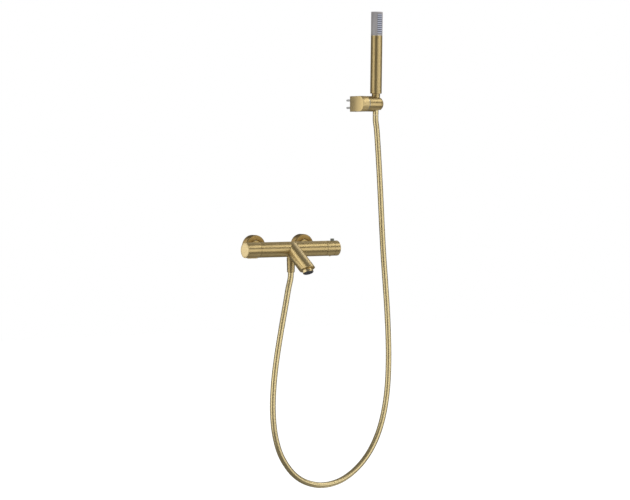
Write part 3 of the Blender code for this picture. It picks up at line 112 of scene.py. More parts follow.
# ============================================================================================ finishes
class NodeGraph:
    """A material's node tree with short methods for the nodes that the finishes use."""

    def __init__(self, name: str) -> None:
        """Start a material.

        Args:
            name: The material's name.
        """
        self.material = bpy.data.materials.new(name)
        self.material.use_nodes = True
        self.tree = self.material.node_tree
        self.shader = self.tree.nodes["Principled BSDF"]
        self.coords = self.add("ShaderNodeTexCoord").outputs["Object"]

    def add(self, kind: str, **settings: object) -> bpy.types.Node:
        """Add one node.

        Args:
            kind: The node's type.
            settings: Properties to set on it.

        Returns:
            The new node.
        """
        node = self.tree.nodes.new(kind)
        for key, value in settings.items():
            setattr(node, key, value)
        return node

    def link(self, source: bpy.types.NodeSocket, target: bpy.types.NodeSocket) -> None:
        """Join an output to an input."""
        self.tree.links.new(source, target)

    def stretched(self, scale: Sequence[float], tilt: float = 0.0) -> bpy.types.NodeSocket:
        """Object coordinates with a scale of their own along each axis.

        Args:
            scale: The three scales.
            tilt: A turn about X that comes before them.

        Returns:
            The new coordinates.
        """
        turning, mapping = self.add("ShaderNodeMapping"), self.add("ShaderNodeMapping")
        turning.inputs["Rotation"].default_value = (tilt, 0.0, 0.0)
        mapping.inputs["Scale"].default_value = scale
        self.link(self.coords, turning.inputs["Vector"])
        self.link(turning.outputs["Vector"], mapping.inputs["Vector"])
        return mapping.outputs["Vector"]

    def around(self, axis: Sequence[float]) -> bpy.types.NodeSocket:
        """The direction that runs round an axis at each point of the surface."""
        cross = self.add("ShaderNodeVectorMath", operation="CROSS_PRODUCT")
        self.link(self.add("ShaderNodeNewGeometry").outputs["Normal"], cross.inputs[0])
        cross.inputs[1].default_value = [part + skew for part, skew in zip(axis, (0.013, 0.017, 0.011))]
        return cross.outputs["Vector"]

    def noise(self, vector: bpy.types.NodeSocket, scale: float, detail: float = 3.0,
              roughness: float = 0.55) -> bpy.types.NodeSocket:
        """A noise pattern's strength, from 0 to 1.

        Args:
            vector: The coordinates that it is read at.
            scale: How fine it is.
            detail: How many octaves it has.
            roughness: How strong the finer octaves are.

        Returns:
            The strength.
        """
        node = self.add("ShaderNodeTexNoise")
        node.inputs["Scale"].default_value = scale
        node.inputs["Detail"].default_value = detail
        node.inputs["Roughness"].default_value = roughness
        self.link(vector, node.inputs["Vector"])
        return node.outputs["Fac"]

    def mix(self, share: bpy.types.NodeSocket, low: Colour, high: Colour) -> bpy.types.NodeSocket:
        """Blend two colours by a share.

        Args:
            share: How much of the second colour there is.
            low: The first colour.
            high: The second colour.

        Returns:
            The blended colour.
        """
        node = self.add("ShaderNodeMix", data_type="RGBA")
        colours = [s for s in node.inputs if s.type == "RGBA"]
        colours[0].default_value = (*low, 1.0)
        colours[1].default_value = (*high, 1.0)
        self.link(share, node.inputs["Factor"])
        return [s for s in node.outputs if s.type == "RGBA"][0]

    def mix_over(self, share: bpy.types.NodeSocket, under: bpy.types.NodeSocket,
                 over: Colour) -> bpy.types.NodeSocket:
        """Lay a colour over a colour socket by a share.

        Args:
            share: How much of the upper colour there is.
            under: The lower colour.
            over: The upper colour.

        Returns:
            The blended colour.
        """
        node = self.add("ShaderNodeMix", data_type="RGBA")
        colours = [s for s in node.inputs if s.type == "RGBA"]
        self.link(under, colours[0])
        colours[1].default_value = (*over, 1.0)
        self.link(share, node.inputs["Factor"])
        return [s for s in node.outputs if s.type == "RGBA"][0]

    def range(self, value: bpy.types.NodeSocket, source: tuple[float, float],
              target: tuple[float, float]) -> bpy.types.NodeSocket:
        """Map a value from one range to another, clamped.

        Args:
            value: The value to map.
            source: The range it comes from.
            target: The range it goes to.

        Returns:
            The mapped value.
        """
        node = self.add("ShaderNodeMapRange")
        for key, number in zip(("From Min", "From Max", "To Min", "To Max"), (*source, *target)):
            node.inputs[key].default_value = number
        self.link(value, node.inputs["Value"])
        return node.outputs["Result"]

    def worn_edges(self, start: float, end: float) -> bpy.types.NodeSocket:
        """The share of wear on outward edges."""
        return self.range(self.add("ShaderNodeNewGeometry").outputs["Pointiness"], (start, end), (0.0, 1.0))

    def bump(self, height: bpy.types.NodeSocket, strength: float, depth: float,
             under: Optional[bpy.types.NodeSocket] = None) -> bpy.types.NodeSocket:
        """Turn a height into a bumped normal.

        Args:
            height: The pattern's height.
            strength: From 0 to 1.
            depth: The height of the pattern in metres.
            under: A normal that the bump is added to.

        Returns:
            The bumped normal.
        """
        node = self.add("ShaderNodeBump")
        node.inputs["Strength"].default_value = strength
        node.inputs["Distance"].default_value = depth
        self.link(height, node.inputs["Height"])
        if under is not None:
            self.link(under, node.inputs["Normal"])
        return node.outputs["Normal"]

    def feed(self, socket: str, source: bpy.types.NodeSocket) -> None:
        """Join an output to one of the shader's inputs."""
        self.link(source, self.shader.inputs[socket])

    def constant(self, socket: str, value: object) -> None:
        """Set a value that is the same all over the surface."""
        self.shader.inputs[socket].default_value = value


@dataclass(frozen=True)
class BrushedMetal:
    """Metal with fine brushing lines, faint blotches and lighter worn edges."""

    name: str
    dark: Colour
    light: Colour
    worn: Colour
    roughness: tuple[float, float] = (0.41, 0.45)
    lines: Axis = Axis.X
    tilt: float = 0.0
    smear: float = 0.8
    line_scale: float = 4000.0
    drift_scale: float = 40.0
    line_depth: float = 0.000003
    blotch_scale: float = 38.0
    coat: float = 0.0

    def build(self) -> bpy.types.Material:
        """Make the material.

        Returns:
            The finished material.
        """
        graph = NodeGraph(self.name)
        scale = [self.line_scale if part else self.drift_scale for part in self.lines.value]
        brushing = graph.noise(graph.stretched(scale, self.tilt), 1.0, 4.0, 0.65)
        blotches = graph.noise(graph.coords, self.blotch_scale, 3.0)
        scuffs = graph.noise(graph.stretched([part * 0.4 for part in scale], self.tilt), 1.0, 2.0, 0.5)
        tone = graph.add("ShaderNodeMath", operation="ADD")
        graph.link(graph.range(brushing, (0.25, 0.75), (0.0, 0.5)), tone.inputs[0])
        graph.link(graph.range(blotches, (0.25, 0.75), (0.0, 0.5)), tone.inputs[1])
        colour = graph.mix(tone.outputs[0], self.dark, self.light)
        graph.feed("Base Color", graph.mix_over(graph.worn_edges(0.52, 0.62), colour, self.worn))
        rough = graph.add("ShaderNodeMath", operation="ADD")
        graph.link(graph.range(scuffs, (0.35, 0.65), self.roughness), rough.inputs[0])
        graph.link(graph.range(blotches, (0.3, 0.7), (-0.02, 0.02)), rough.inputs[1])
        graph.feed("Roughness", rough.outputs[0])
        graph.feed("Normal", graph.bump(brushing, 0.35, self.line_depth))
        if self.smear:
            axis = Matrix.Rotation(-self.tilt, 3, "X") @ Vector(self.lines.value)
            graph.feed("Tangent", graph.around(axis))
            graph.constant("Anisotropic", self.smear)
            graph.constant("Anisotropic Rotation", 0.25)
        graph.constant("Metallic", 1.0)
        graph.constant("Coat Weight", self.coat)
        graph.constant("Coat Roughness", 0.12)
        return graph.material


@dataclass(frozen=True)
class Moulded:
    """Moulded plastic, rubber or ceramic with a fine skin and slight clouding."""

    name: str
    dark: Colour
    light: Colour
    roughness: tuple[float, float] = (0.42, 0.58)
    cloud_scale: float = 45.0
    skin_scale: float = 2600.0
    skin_depth: float = 0.00003
    coat: float = 0.0
    sheen: float = 0.0

    def build(self) -> bpy.types.Material:
        """Make the material.

        Returns:
            The finished material.
        """
        graph = NodeGraph(self.name)
        clouds = graph.noise(graph.coords, self.cloud_scale, 4.0)
        skin = graph.noise(graph.coords, self.skin_scale, 2.0)
        colour = graph.mix(graph.range(clouds, (0.3, 0.7), (0.0, 1.0)), self.dark, self.light)
        rubbed = tuple(min(1.0, part * 1.25 + 0.015) for part in self.light)
        graph.feed("Base Color", graph.mix_over(graph.worn_edges(0.53, 0.66), colour, rubbed))
        graph.feed("Roughness", graph.range(clouds, (0.3, 0.7), self.roughness))
        graph.feed("Normal", graph.bump(skin, 0.3, self.skin_depth))
        graph.constant("Coat Weight", self.coat)
        graph.constant("Sheen Weight", self.sheen)
        return graph.material


@dataclass(frozen=True)
class StudioPaper:
    """The pale paper of the floor."""

    name: str = "studio_paper"
    shade: float = 0.94
    glow: float = 0.95

    def build(self) -> bpy.types.Material:
        """Make the material.

        Returns:
            The finished material.
        """
        graph = NodeGraph(self.name)
        fibres = graph.noise(graph.coords, 3.0, 3.0)
        low = (self.shade - 0.01,) * 3
        colour = graph.mix(fibres, low, (self.shade,) * 3)
        graph.feed("Base Color", colour)
        graph.feed("Emission Color", colour)
        graph.constant("Emission Strength", self.glow)
        graph.constant("Roughness", 0.9)
        return graph.material


GOLD_DARK: Colour = (0.55, 0.415, 0.185)
GOLD_LIGHT: Colour = (0.66, 0.51, 0.245)
GOLD_WORN: Colour = (0.80, 0.66, 0.40)
SPOUT_DROOP = math.radians(34.0)


@dataclass
class FinishShelf:
    """Every finish, built once and handed out by name."""

    recipes: dict[str, object] = field(default_factory=lambda: {
        "gold_along_x": BrushedMetal("brushed_gold_bar", GOLD_DARK, GOLD_LIGHT, GOLD_WORN, lines=Axis.X),
        "gold_along_y": BrushedMetal("brushed_gold_nut", GOLD_DARK, GOLD_LIGHT, GOLD_WORN, lines=Axis.Y),
        "gold_along_z": BrushedMetal("brushed_gold_stick", GOLD_DARK, GOLD_LIGHT, GOLD_WORN, lines=Axis.Z),
        "gold_spout": BrushedMetal("brushed_gold_spout", GOLD_DARK, GOLD_LIGHT, GOLD_WORN, lines=Axis.Z,
                                   tilt=math.pi / 2 - SPOUT_DROOP),
        # The flange's finish is the body's brushed gold at about half the brightness: painted shade, standing
        # in for the shade that falls on the flange round the bar.
        "gold_flange": BrushedMetal("brushed_gold_flange", (0.29, 0.185, 0.06), (0.37, 0.25, 0.09),
                                    (0.62, 0.48, 0.24), (0.36, 0.42), Axis.Y, smear=0.5),
        "gold_block": BrushedMetal("brushed_gold_block", GOLD_DARK, GOLD_LIGHT, GOLD_WORN, (0.40, 0.46),
                                   Axis.Z,
                                   smear=0.5),
        "gold_cap": BrushedMetal("satin_gold_cap", (0.66, 0.515, 0.26), (0.76, 0.61, 0.33), GOLD_WORN,
                                 (0.36, 0.44), Axis.Z, smear=0.0),
        "gold_pale": BrushedMetal("pale_gold_edge", (0.74, 0.66, 0.50), (0.84, 0.76, 0.60), GOLD_WORN,
                                  (0.30, 0.38), Axis.Z, smear=0.0),
        "gold_aerator": BrushedMetal("satin_gold_aerator", (0.58, 0.46, 0.23), (0.72, 0.58, 0.32), GOLD_WORN,
                                     (0.26, 0.34), Axis.Z, smear=0.0),
        "hose_cover": BrushedMetal("hose_cover", (0.60, 0.48, 0.24), (0.70, 0.58, 0.31), (0.78, 0.64, 0.38),
                                   (0.26, 0.34), Axis.Z, line_scale=900.0, drift_scale=90.0,
                                   blotch_scale=60.0,
                                   coat=0.2, smear=0.0),
        "machined_brass": BrushedMetal("machined_brass", (0.42, 0.30, 0.11), (0.58, 0.43, 0.18),
                                       (0.72, 0.58, 0.30), (0.30, 0.46), Axis.Y, line_scale=3000.0,
                                       smear=0.0),
        "copper": BrushedMetal("copper", (0.40, 0.17, 0.08), (0.58, 0.27, 0.14), (0.70, 0.38, 0.22),
                               (0.28, 0.42), smear=0.0),
        "steel": BrushedMetal("screw_steel", (0.40, 0.40, 0.41), (0.58, 0.58, 0.60), (0.72, 0.72, 0.74),
                              (0.25, 0.40), Axis.Y, line_scale=2600.0, smear=0.0),
        "friction_ring": BrushedMetal("friction_ring_zinc", (0.50, 0.52, 0.44), (0.66, 0.67, 0.58),
                                      (0.78, 0.78, 0.70), (0.32, 0.44), Axis.X, smear=0.0),
        "spray_shell": Moulded("spray_shell_grey", (0.50, 0.475, 0.475), (0.59, 0.565, 0.57), (0.28, 0.36)),
        "nozzle_rib": Moulded("nozzle_rib_pale", (0.60, 0.63, 0.76), (0.72, 0.75, 0.88), (0.45, 0.6),
                              sheen=0.15),
        "nozzle_groove": Moulded("nozzle_groove_dark", (0.045, 0.050, 0.075), (0.080, 0.088, 0.120),
                                 (0.5, 0.65)),
        "button": Moulded("button_grey_green", (0.17, 0.185, 0.15), (0.25, 0.265, 0.22), (0.28, 0.4),
                          coat=0.3),
        "dark_plastic": Moulded("dark_plastic", (0.030, 0.031, 0.034), (0.060, 0.061, 0.066), (0.40, 0.55)),
        "aerator_mesh": Moulded("aerator_mesh", (0.055, 0.058, 0.064), (0.105, 0.110, 0.120), (0.32, 0.45)),
        "pale_plastic": Moulded("pale_plastic", (0.52, 0.52, 0.49), (0.66, 0.66, 0.63)),
        "nylon": Moulded("white_nylon", (0.78, 0.78, 0.77), (0.90, 0.90, 0.89), (0.45, 0.6)),
        "rubber": Moulded("seal_rubber", (0.016, 0.016, 0.017), (0.034, 0.034, 0.036), (0.62, 0.80),
                          sheen=0.2),
        "ceramic": Moulded("disc_ceramic", (0.72, 0.71, 0.67), (0.84, 0.83, 0.80), (0.12, 0.22), coat=0.4),
        "paper": StudioPaper(),
    })
    made: dict[str, bpy.types.Material] = field(default_factory=dict)

    def take(self, name: str) -> bpy.types.Material:
        """Hand out a finish, building it the first time.

        Args:
            name: The recipe's key.

        Returns:
            The material.
        """
        if name not in self.made:
            self.made[name] = self.recipes[name].build()
        return self.made[name]


# ============================================================================================ mesh tools
@dataclass
class Seat:
    """A local frame: a piece's own Z runs along it and its X across it."""

    origin: Vector
    along: Vector
    across: Vector

    def matrix(self) -> Matrix:
        """The matrix from the piece's own frame to the row frame."""
        z = self.along.normalized()
        x = self.across.normalized()
        matrix = Matrix((x, z.cross(x), z)).transposed().to_4x4()
        matrix.translation = self.origin
        return matrix


class Workshop:
    """Builds meshes: turned, extruded and cut."""

    ROUND = 96
    SHARP_ANGLE = 32.0

    @staticmethod
    def filleted(outline: Sequence[OutlinePoint], closed: bool) -> list[tuple[float, float]]:
        """Round the corners of an outline.

        Args:
            outline: Radius, height and fillet of each corner.
            closed: Whether the last corner joins the first.

        Returns:
            The outline's points as radius and height.
        """
        points: list[tuple[float, float]] = []
        count = len(outline)
        for index, (radius, height, fillet) in enumerate(outline):
            corner = Vector((radius, height))
            ends = not closed and index in (0, count - 1)
            if fillet <= 0.0 or ends:
                points.append((radius, height))
                continue
            before = Vector(outline[index - 1][:2]) - corner
            after = Vector(outline[(index + 1) % count][:2]) - corner
            reach = min(fillet, before.length * 0.48, after.length * 0.48)
            start, end = corner + before.normalized() * reach, corner + after.normalized() * reach
            for share in (0.0, 0.3, 0.7, 1.0):
                place = start * (1 - share) ** 2 + corner * 2 * share * (1 - share) + end * share ** 2
                points.append((place.x, place.y))
        return points

    @classmethod
    def turned(cls, outline: Sequence[OutlinePoint], sides: int = ROUND) -> bmesh.types.BMesh:
        """Turn an outline about Z.

        Args:
            outline: Radius, height and fillet of each corner. An outline with both ends on the axis is a
                solid bar, and any other is closed into a ring.
            sides: How many facets the turn has.

        Returns:
            The turned mesh.
        """
        closed = outline[0][0] > 0.0 or outline[-1][0] > 0.0
        points = cls.filleted(outline, closed)
        bm = bmesh.new()
        rings: list[list[bmesh.types.BMVert]] = []
        for radius, height in points:
            if radius <= 1e-9:
                rings.append([bm.verts.new((0.0, 0.0, height))] * sides)
            else:
                rings.append([bm.verts.new((radius * math.cos(math.tau * k / sides),
                                            radius * math.sin(math.tau * k / sides), height))
                              for k in range(sides)])
        pairs = list(zip(rings, rings[1:]))
        if closed:
            pairs.append((rings[-1], rings[0]))
        for low, high in pairs:
            for k in range(sides):
                corners = [low[k], low[(k + 1) % sides], high[(k + 1) % sides], high[k]]
                unique = list(dict.fromkeys(corners))
                if len(unique) > 2:
                    bm.faces.new(unique)
        bmesh.ops.recalc_face_normals(bm, faces=bm.faces)
        return bm

    @staticmethod
    def block(low: Sequence[float], high: Sequence[float], fillet: float = 0.0) -> bmesh.types.BMesh:
        """A box between two corners, with rounded edges where a fillet is given.

        Args:
            low: The lowest corner.
            high: The highest corner.
            fillet: The radius of every edge.

        Returns:
            The box.
        """
        bm = bmesh.new()
        bmesh.ops.create_cube(bm, size=1.0)
        for vert in bm.verts:
            vert.co = Vector([low[i] + (vert.co[i] + 0.5) * (high[i] - low[i]) for i in range(3)])
        if fillet > 0.0:
            bmesh.ops.bevel(bm, geom=list(bm.edges), offset=fillet, segments=3, profile=0.5, affect="EDGES")
        return bm

    @staticmethod
    def prism(points: Sequence[tuple[float, float]], low: float, high: float,
              fillet: float = 0.0) -> bmesh.types.BMesh:
        """Extrude an outline along Z and round the edges of its two ends.

        Args:
            points: The outline in X and Y.
            low: The lower end.
            high: The upper end.
            fillet: The radius of both end edges.

        Returns:
            The prism.
        """
        bm = bmesh.new()
        base = bm.faces.new([bm.verts.new((x, y, low)) for x, y in points])
        out = bmesh.ops.extrude_face_region(bm, geom=[base])
        tops = [item for item in out["geom"] if isinstance(item, bmesh.types.BMVert)]
        bmesh.ops.translate(bm, verts=tops, vec=(0, 0, high - low))
        bmesh.ops.recalc_face_normals(bm, faces=bm.faces)
        if fillet > 0.0:
            rims = [e for e in bm.edges if abs(e.verts[0].co.z - e.verts[1].co.z) < 1e-7]
            bmesh.ops.bevel(bm, geom=rims, offset=fillet, segments=3, profile=0.5, affect="EDGES")
        return bm

    @classmethod
    def piece(cls, name: str, bm: bmesh.types.BMesh, seat: Seat,
              materials: Iterable[bpy.types.Material] = ()) -> bpy.types.Object:
        """Make an object of a mesh, with its place in its vertices.

        Args:
            name: The piece's name.
            bm: The mesh in the seat's own frame.
            seat: Where the mesh goes.
            materials: Its finishes, in slot order.

        Returns:
            The new object.
        """
        bm.transform(seat.matrix())
        mesh = bpy.data.meshes.new(name)
        bm.to_mesh(mesh)
        bm.free()
        obj = bpy.data.objects.new(name, mesh)
        bpy.context.scene.collection.objects.link(obj)
        for material in materials:
            mesh.materials.append(material)
        cls.smooth(obj)
        return obj

    @classmethod
    def smooth(cls, obj: bpy.types.Object, angle: float = SHARP_ANGLE) -> None:
        """Shade a piece smooth, with sharp corners kept."""
        obj.data.shade_smooth()
        obj.data.set_sharp_from_angle(angle=math.radians(angle))

    @classmethod
    def change(cls, target: bpy.types.Object, bm: bmesh.types.BMesh, seat: Seat, how: Cutting) -> None:
        """Cut, join or trim a piece with another solid, at once.

        Args:
            target: The piece that changes.
            bm: The other solid, in the seat's own frame.
            seat: Where the other solid is.
            how: What it does to the target.
        """
        tool = cls.piece(target.name + "_tool", bm, seat)
        step = target.modifiers.new("step", "BOOLEAN")
        step.operation = how.value
        step.solver = "EXACT"
        step.object = tool
        seam = target.modifiers.new("seam", "WELD")
        seam.merge_threshold = 0.000004
        evaluated = target.evaluated_get(bpy.context.evaluated_depsgraph_get())
        mesh = bpy.data.meshes.new_from_object(evaluated)
        target.modifiers.clear()
        old = target.data
        target.data = mesh
        bpy.data.meshes.remove(old)
        spare = tool.data
        bpy.data.objects.remove(tool)
        bpy.data.meshes.remove(spare)
        cls.smooth(target)

    @staticmethod
    def merge(target: bmesh.types.BMesh, other: bmesh.types.BMesh) -> None:
        """Add another mesh's faces to a mesh."""
        copies = {vert: target.verts.new(vert.co) for vert in other.verts}
        for face in other.faces:
            made = target.faces.new([copies[vert] for vert in face.verts])
            made.material_index = face.material_index
        other.free()

    @staticmethod
    def even_line(route: Sequence[Sequence[float]], count: int) -> list[Vector]:
        """Points evenly spaced along a smooth curve through the route.

        Args:
            route: The places that the curve passes.
            count: How many points to return.

        Returns:
            The points, first and last included.
        """
        places = [Vector(place) for place in route]
        padded = [2 * places[0] - places[1]] + places + [2 * places[-1] - places[-2]]
        fine: list[Vector] = []
        for a, b, c, d in zip(padded, padded[1:], padded[2:], padded[3:]):
            for step in range(24):
                t = step / 24
                fine.append(0.5 * (2 * b + (c - a) * t + (2 * a - 5 * b + 4 * c - d) * t ** 2
                                   + (3 * b - a - 3 * c + d) * t ** 3))
        fine.append(places[-1])
        travelled = [0.0]
        for here, there in zip(fine, fine[1:]):
            travelled.append(travelled[-1] + (there - here).length)
        line: list[Vector] = []
        at = 0
        for index in range(count):
            goal = travelled[-1] * index / (count - 1)
            while at < len(fine) - 2 and travelled[at + 1] < goal:
                at += 1
            share = (goal - travelled[at]) / (travelled[at + 1] - travelled[at])
            line.append(fine[at].lerp(fine[at + 1], min(1.0, share)))
        return line


@dataclass
class Layout:
    """Where things are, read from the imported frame."""

    joints: dict[str, dict] = field(default_factory=lambda: {j["name"]: j for j in frame["joints"]})

    def box(self, node: str) -> tuple[Vector, Vector]:
        """A node's lowest and highest corners at rest."""
        low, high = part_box(node)
        return Vector(low), Vector(high)

    def bar_end(self, side: Side) -> Seat:
        """The body's end face, looking outward."""
        low, high = self.box("mixer_body")
        centre = Vector(self.joints["flow_knob_turn"]["pos_m"])
        x = low.x if side is Side.LEFT else high.x
        return Seat(Vector((x, centre.y, centre.z)), Vector((side.value, 0, 0)), Vector((0, side.value, 0)))

    def inlet(self, side: Side) -> Seat:
        """A union's axis, starting on the wall."""
        low, high = self.box(f"{side.word}_union_nut")
        middle = (low + high) / 2
        return Seat(Vector((middle.x, 0.0, middle.z)), Vector((0, -1, 0)), Vector((1, 0, 0)))

    def wall_socket(self, side: Side) -> Seat:
        """A flange's axis, starting on the wall."""
        low, high = self.box(f"{side.word}_flange")
        middle = (low + high) / 2
        return Seat(Vector((middle.x, 0.0, middle.z)), Vector((0, -1, 0)), Vector((1, 0, 0)))

    def outlet(self) -> Seat:
        """The hose outlet's axis, from the bar's height downward."""
        low, high = self.box("lower_hose_nut")
        middle = (low + high) / 2
        bar = self.joints["flow_knob_turn"]["pos_m"][2]
        return Seat(Vector((middle.x, middle.y, bar)), Vector((0, 0, -1)), Vector((1, 0, 0)))

    def pivot(self) -> Vector:
        """The point that the holder swivels about."""
        return Vector(self.joints["holder_tilt"]["pos_m"])

    def stick(self) -> Seat:
        """The hand shower's axis, from the swivel upward."""
        return Seat(self.pivot(), Vector(self.joints["handset_turn"]["axis"]), Vector((1, 0, 0)))

    def swivel(self) -> Seat:
        """The swivel's own axis, along X, with the holder's lean."""
        stick = self.stick()
        across = stick.along.normalized().cross(stick.across)
        return Seat(self.pivot(), Vector((1, 0, 0)), across)


@dataclass
class SubAssembly:
    """What every sub-assembly has: the finishes, the layout and a way to place a piece."""

    shelf: FinishShelf
    layout: Layout

    def settle(self, obj: bpy.types.Object, body: str, slot: str, *nodes: str) -> bpy.types.Object:
        """Make a piece stand for its nodes and ride on a body.

        Args:
            obj: The piece.
            body: The body it moves with.
            slot: The record's material slot; not used.
            nodes: The nodes that it replaces.

        Returns:
            The piece.
        """
        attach(obj, body)
        if nodes:
            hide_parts(*nodes)
        LOG.info("built %s on %s", obj.name, body)
        return obj

    def dress(self, finish: str, *nodes: str) -> None:
        """Give carried-over nodes a finish.

        Args:
            finish: The finish's name.
            nodes: The nodes to dress.
        """
        for node in nodes:
            obj = frame["nodes"][node]
            for place in obj.material_slots:
                place.material = self.shelf.take(finish)
            LOG.info("dressed %s in %s", node, finish)


# ============================================================================================ camera, light
@dataclass
class SoftBox:
    """One large studio lamp aimed at a point."""

    name: str
    azimuth: float
    elevation: float
    distance: float
    width: float
    height: float
    radiance: float
    only_on: tuple[str, ...] = ()
    aim: Optional[tuple[float, float, float]] = None

    def place(self, target: Vector) -> bpy.types.Object:
        """Set the lamp up.

        Args:
            target: The point it is aimed at, unless it has an aim of its own.

        Returns:
            The lamp.
        """
        a, e = math.radians(self.azimuth), math.radians(self.elevation)
        back = Vector((math.sin(a) * math.cos(e), -math.cos(a) * math.cos(e), math.sin(e)))
        lamp = bpy.data.lights.new(self.name, "AREA")
        lamp.shape = "RECTANGLE"
        lamp.size, lamp.size_y = self.width, self.height
        lamp.energy = self.radiance * math.pi * self.width * self.height
        obj = bpy.data.objects.new(self.name, lamp)
        bpy.context.scene.collection.objects.link(obj)
        obj.location = (Vector(self.aim) if self.aim else target) + back * self.distance
        obj.rotation_euler = (-back).to_track_quat("-Z", "Y").to_euler()
        obj.visible_camera = False
        return obj

    def flag(self) -> None:
        """Keep the lamp's light to the pieces it is meant for, as flags do in a studio."""
        if not self.only_on:
            return
        lit = bpy.data.collections.new(f"{self.name}_pieces")
        for name in self.only_on:
            lit.objects.link(bpy.data.objects[name])
        bpy.data.objects[self.name].light_linking.receiver_collection = lit


@dataclass
class Studio:
    """Camera, lamps, floor and backdrop."""

    camera_place: tuple[float, float, float] = (-3.17548, -5.07794, 0.23589)
    azimuth: float = -33.0
    elevation: float = 2.3
    lens: float = 129.78
    sensor: float = 36.0
    world_grey: float = 0.22
    lamps: list[SoftBox] = field(default_factory=lambda: [
        SoftBox("lamp_overhead", azimuth=52.0, elevation=43.0, distance=3.6, width=3.4, height=1.5,
                radiance=2.1),
        SoftBox("lamp_front", azimuth=22.0, elevation=-2.5, distance=4.0, width=6.2, height=2.4,
                radiance=1.22),
        SoftBox("lamp_left", azimuth=-92.0, elevation=-2.0, distance=3.6, width=3.2, height=3.2,
                radiance=1.25),
        SoftBox("lamp_below", azimuth=80.0, elevation=-55.0, distance=3.2, width=3.0, height=2.0,
                radiance=0.45),
        SoftBox("lamp_behind_left", azimuth=-140.0, elevation=20.0, distance=3.6, width=2.9, height=4.2,
                radiance=1.15,
                only_on=("bar_casting", "flow_knob_shell", "flow_knob_end_cap", "temperature_knob_shell",
                         "aerator_ring", "holder_shell", "left_wall_flange", "right_wall_flange")),
        SoftBox("lamp_spout", azimuth=-112.0, elevation=38.0, distance=3.4, width=2.6, height=2.2,
                radiance=1.5,
                only_on=("bar_casting", "flow_knob_shell", "temperature_knob_shell")),
        SoftBox("lamp_block", azimuth=-147.0, elevation=-1.7, distance=0.12, width=0.12, height=0.30,
                radiance=1.15,
                only_on=("wall_block",), aim=(0.1686, -0.0424, 0.383)),
        SoftBox("lamp_behind_right", azimuth=121.0, elevation=36.0, distance=3.6, width=1.6, height=1.6,
                radiance=0.6),
    ])

    def build(self, shelf: FinishShelf) -> None:
        """Make the camera, then the lamps and the paper.

        Args:
            shelf: Where the paper's finish comes from.
        """
        bpy.context.scene.view_settings.view_transform = "Standard"
        self.make_camera()
        low, high = CAD_BOX
        middle = (Vector(low) + Vector(high)) / 2
        for lamp in self.lamps:
            lamp.place(middle)
        self.make_world()
        self.make_paper(shelf, low[2])

    def make_camera(self) -> None:
        """Make the camera at the product's viewing angle."""
        data = bpy.data.cameras.new("camera")
        data.lens = self.lens
        data.sensor_width = self.sensor
        camera = bpy.data.objects.new("camera", data)
        bpy.context.scene.collection.objects.link(camera)
        camera.location = self.camera_place
        camera.rotation_euler = (math.radians(90.0 - self.elevation), 0.0, math.radians(self.azimuth))
        bpy.context.scene.camera = camera

    def make_world(self) -> None:
        """A dim grey surround for the metal, white where the camera looks past the paper."""
        world = bpy.data.worlds.new("studio")
        world.use_nodes = True
        tree = world.node_tree
        tree.nodes.clear()
        grey, white = tree.nodes.new("ShaderNodeBackground"), tree.nodes.new("ShaderNodeBackground")
        grey.inputs["Color"].default_value = (self.world_grey,) * 3 + (1.0,)
        white.inputs["Color"].default_value = (1.0, 1.0, 1.0, 1.0)
        path = tree.nodes.new("ShaderNodeLightPath")
        mix = tree.nodes.new("ShaderNodeMixShader")
        out = tree.nodes.new("ShaderNodeOutputWorld")
        tree.links.new(path.outputs["Is Camera Ray"], mix.inputs["Fac"])
        tree.links.new(grey.outputs["Background"], mix.inputs[1])
        tree.links.new(white.outputs["Background"], mix.inputs[2])
        tree.links.new(mix.outputs["Shader"], out.inputs["Surface"])
        bpy.context.scene.world = world

    def make_paper(self, shelf: FinishShelf, lowest: float) -> None:
        """The floor, well below the hose's loop.

        Args:
            shelf: Where the paper's finish comes from.
            lowest: The lowest point of the object.
        """
        drop, half = 0.55, 9.0
        bm = bmesh.new()
        bmesh.ops.create_grid(bm, x_segments=6, y_segments=6, size=half)
        seat = Seat(Vector((0.0, 2.0, lowest - drop)), Vector((0, 0, 1)), Vector((1, 0, 0)))
        floor = Workshop.piece("studio_floor", bm, seat, [shelf.take("paper")])
        floor.visible_glossy = False
        floor.visible_diffuse = False
        floor.visible_shadow = False


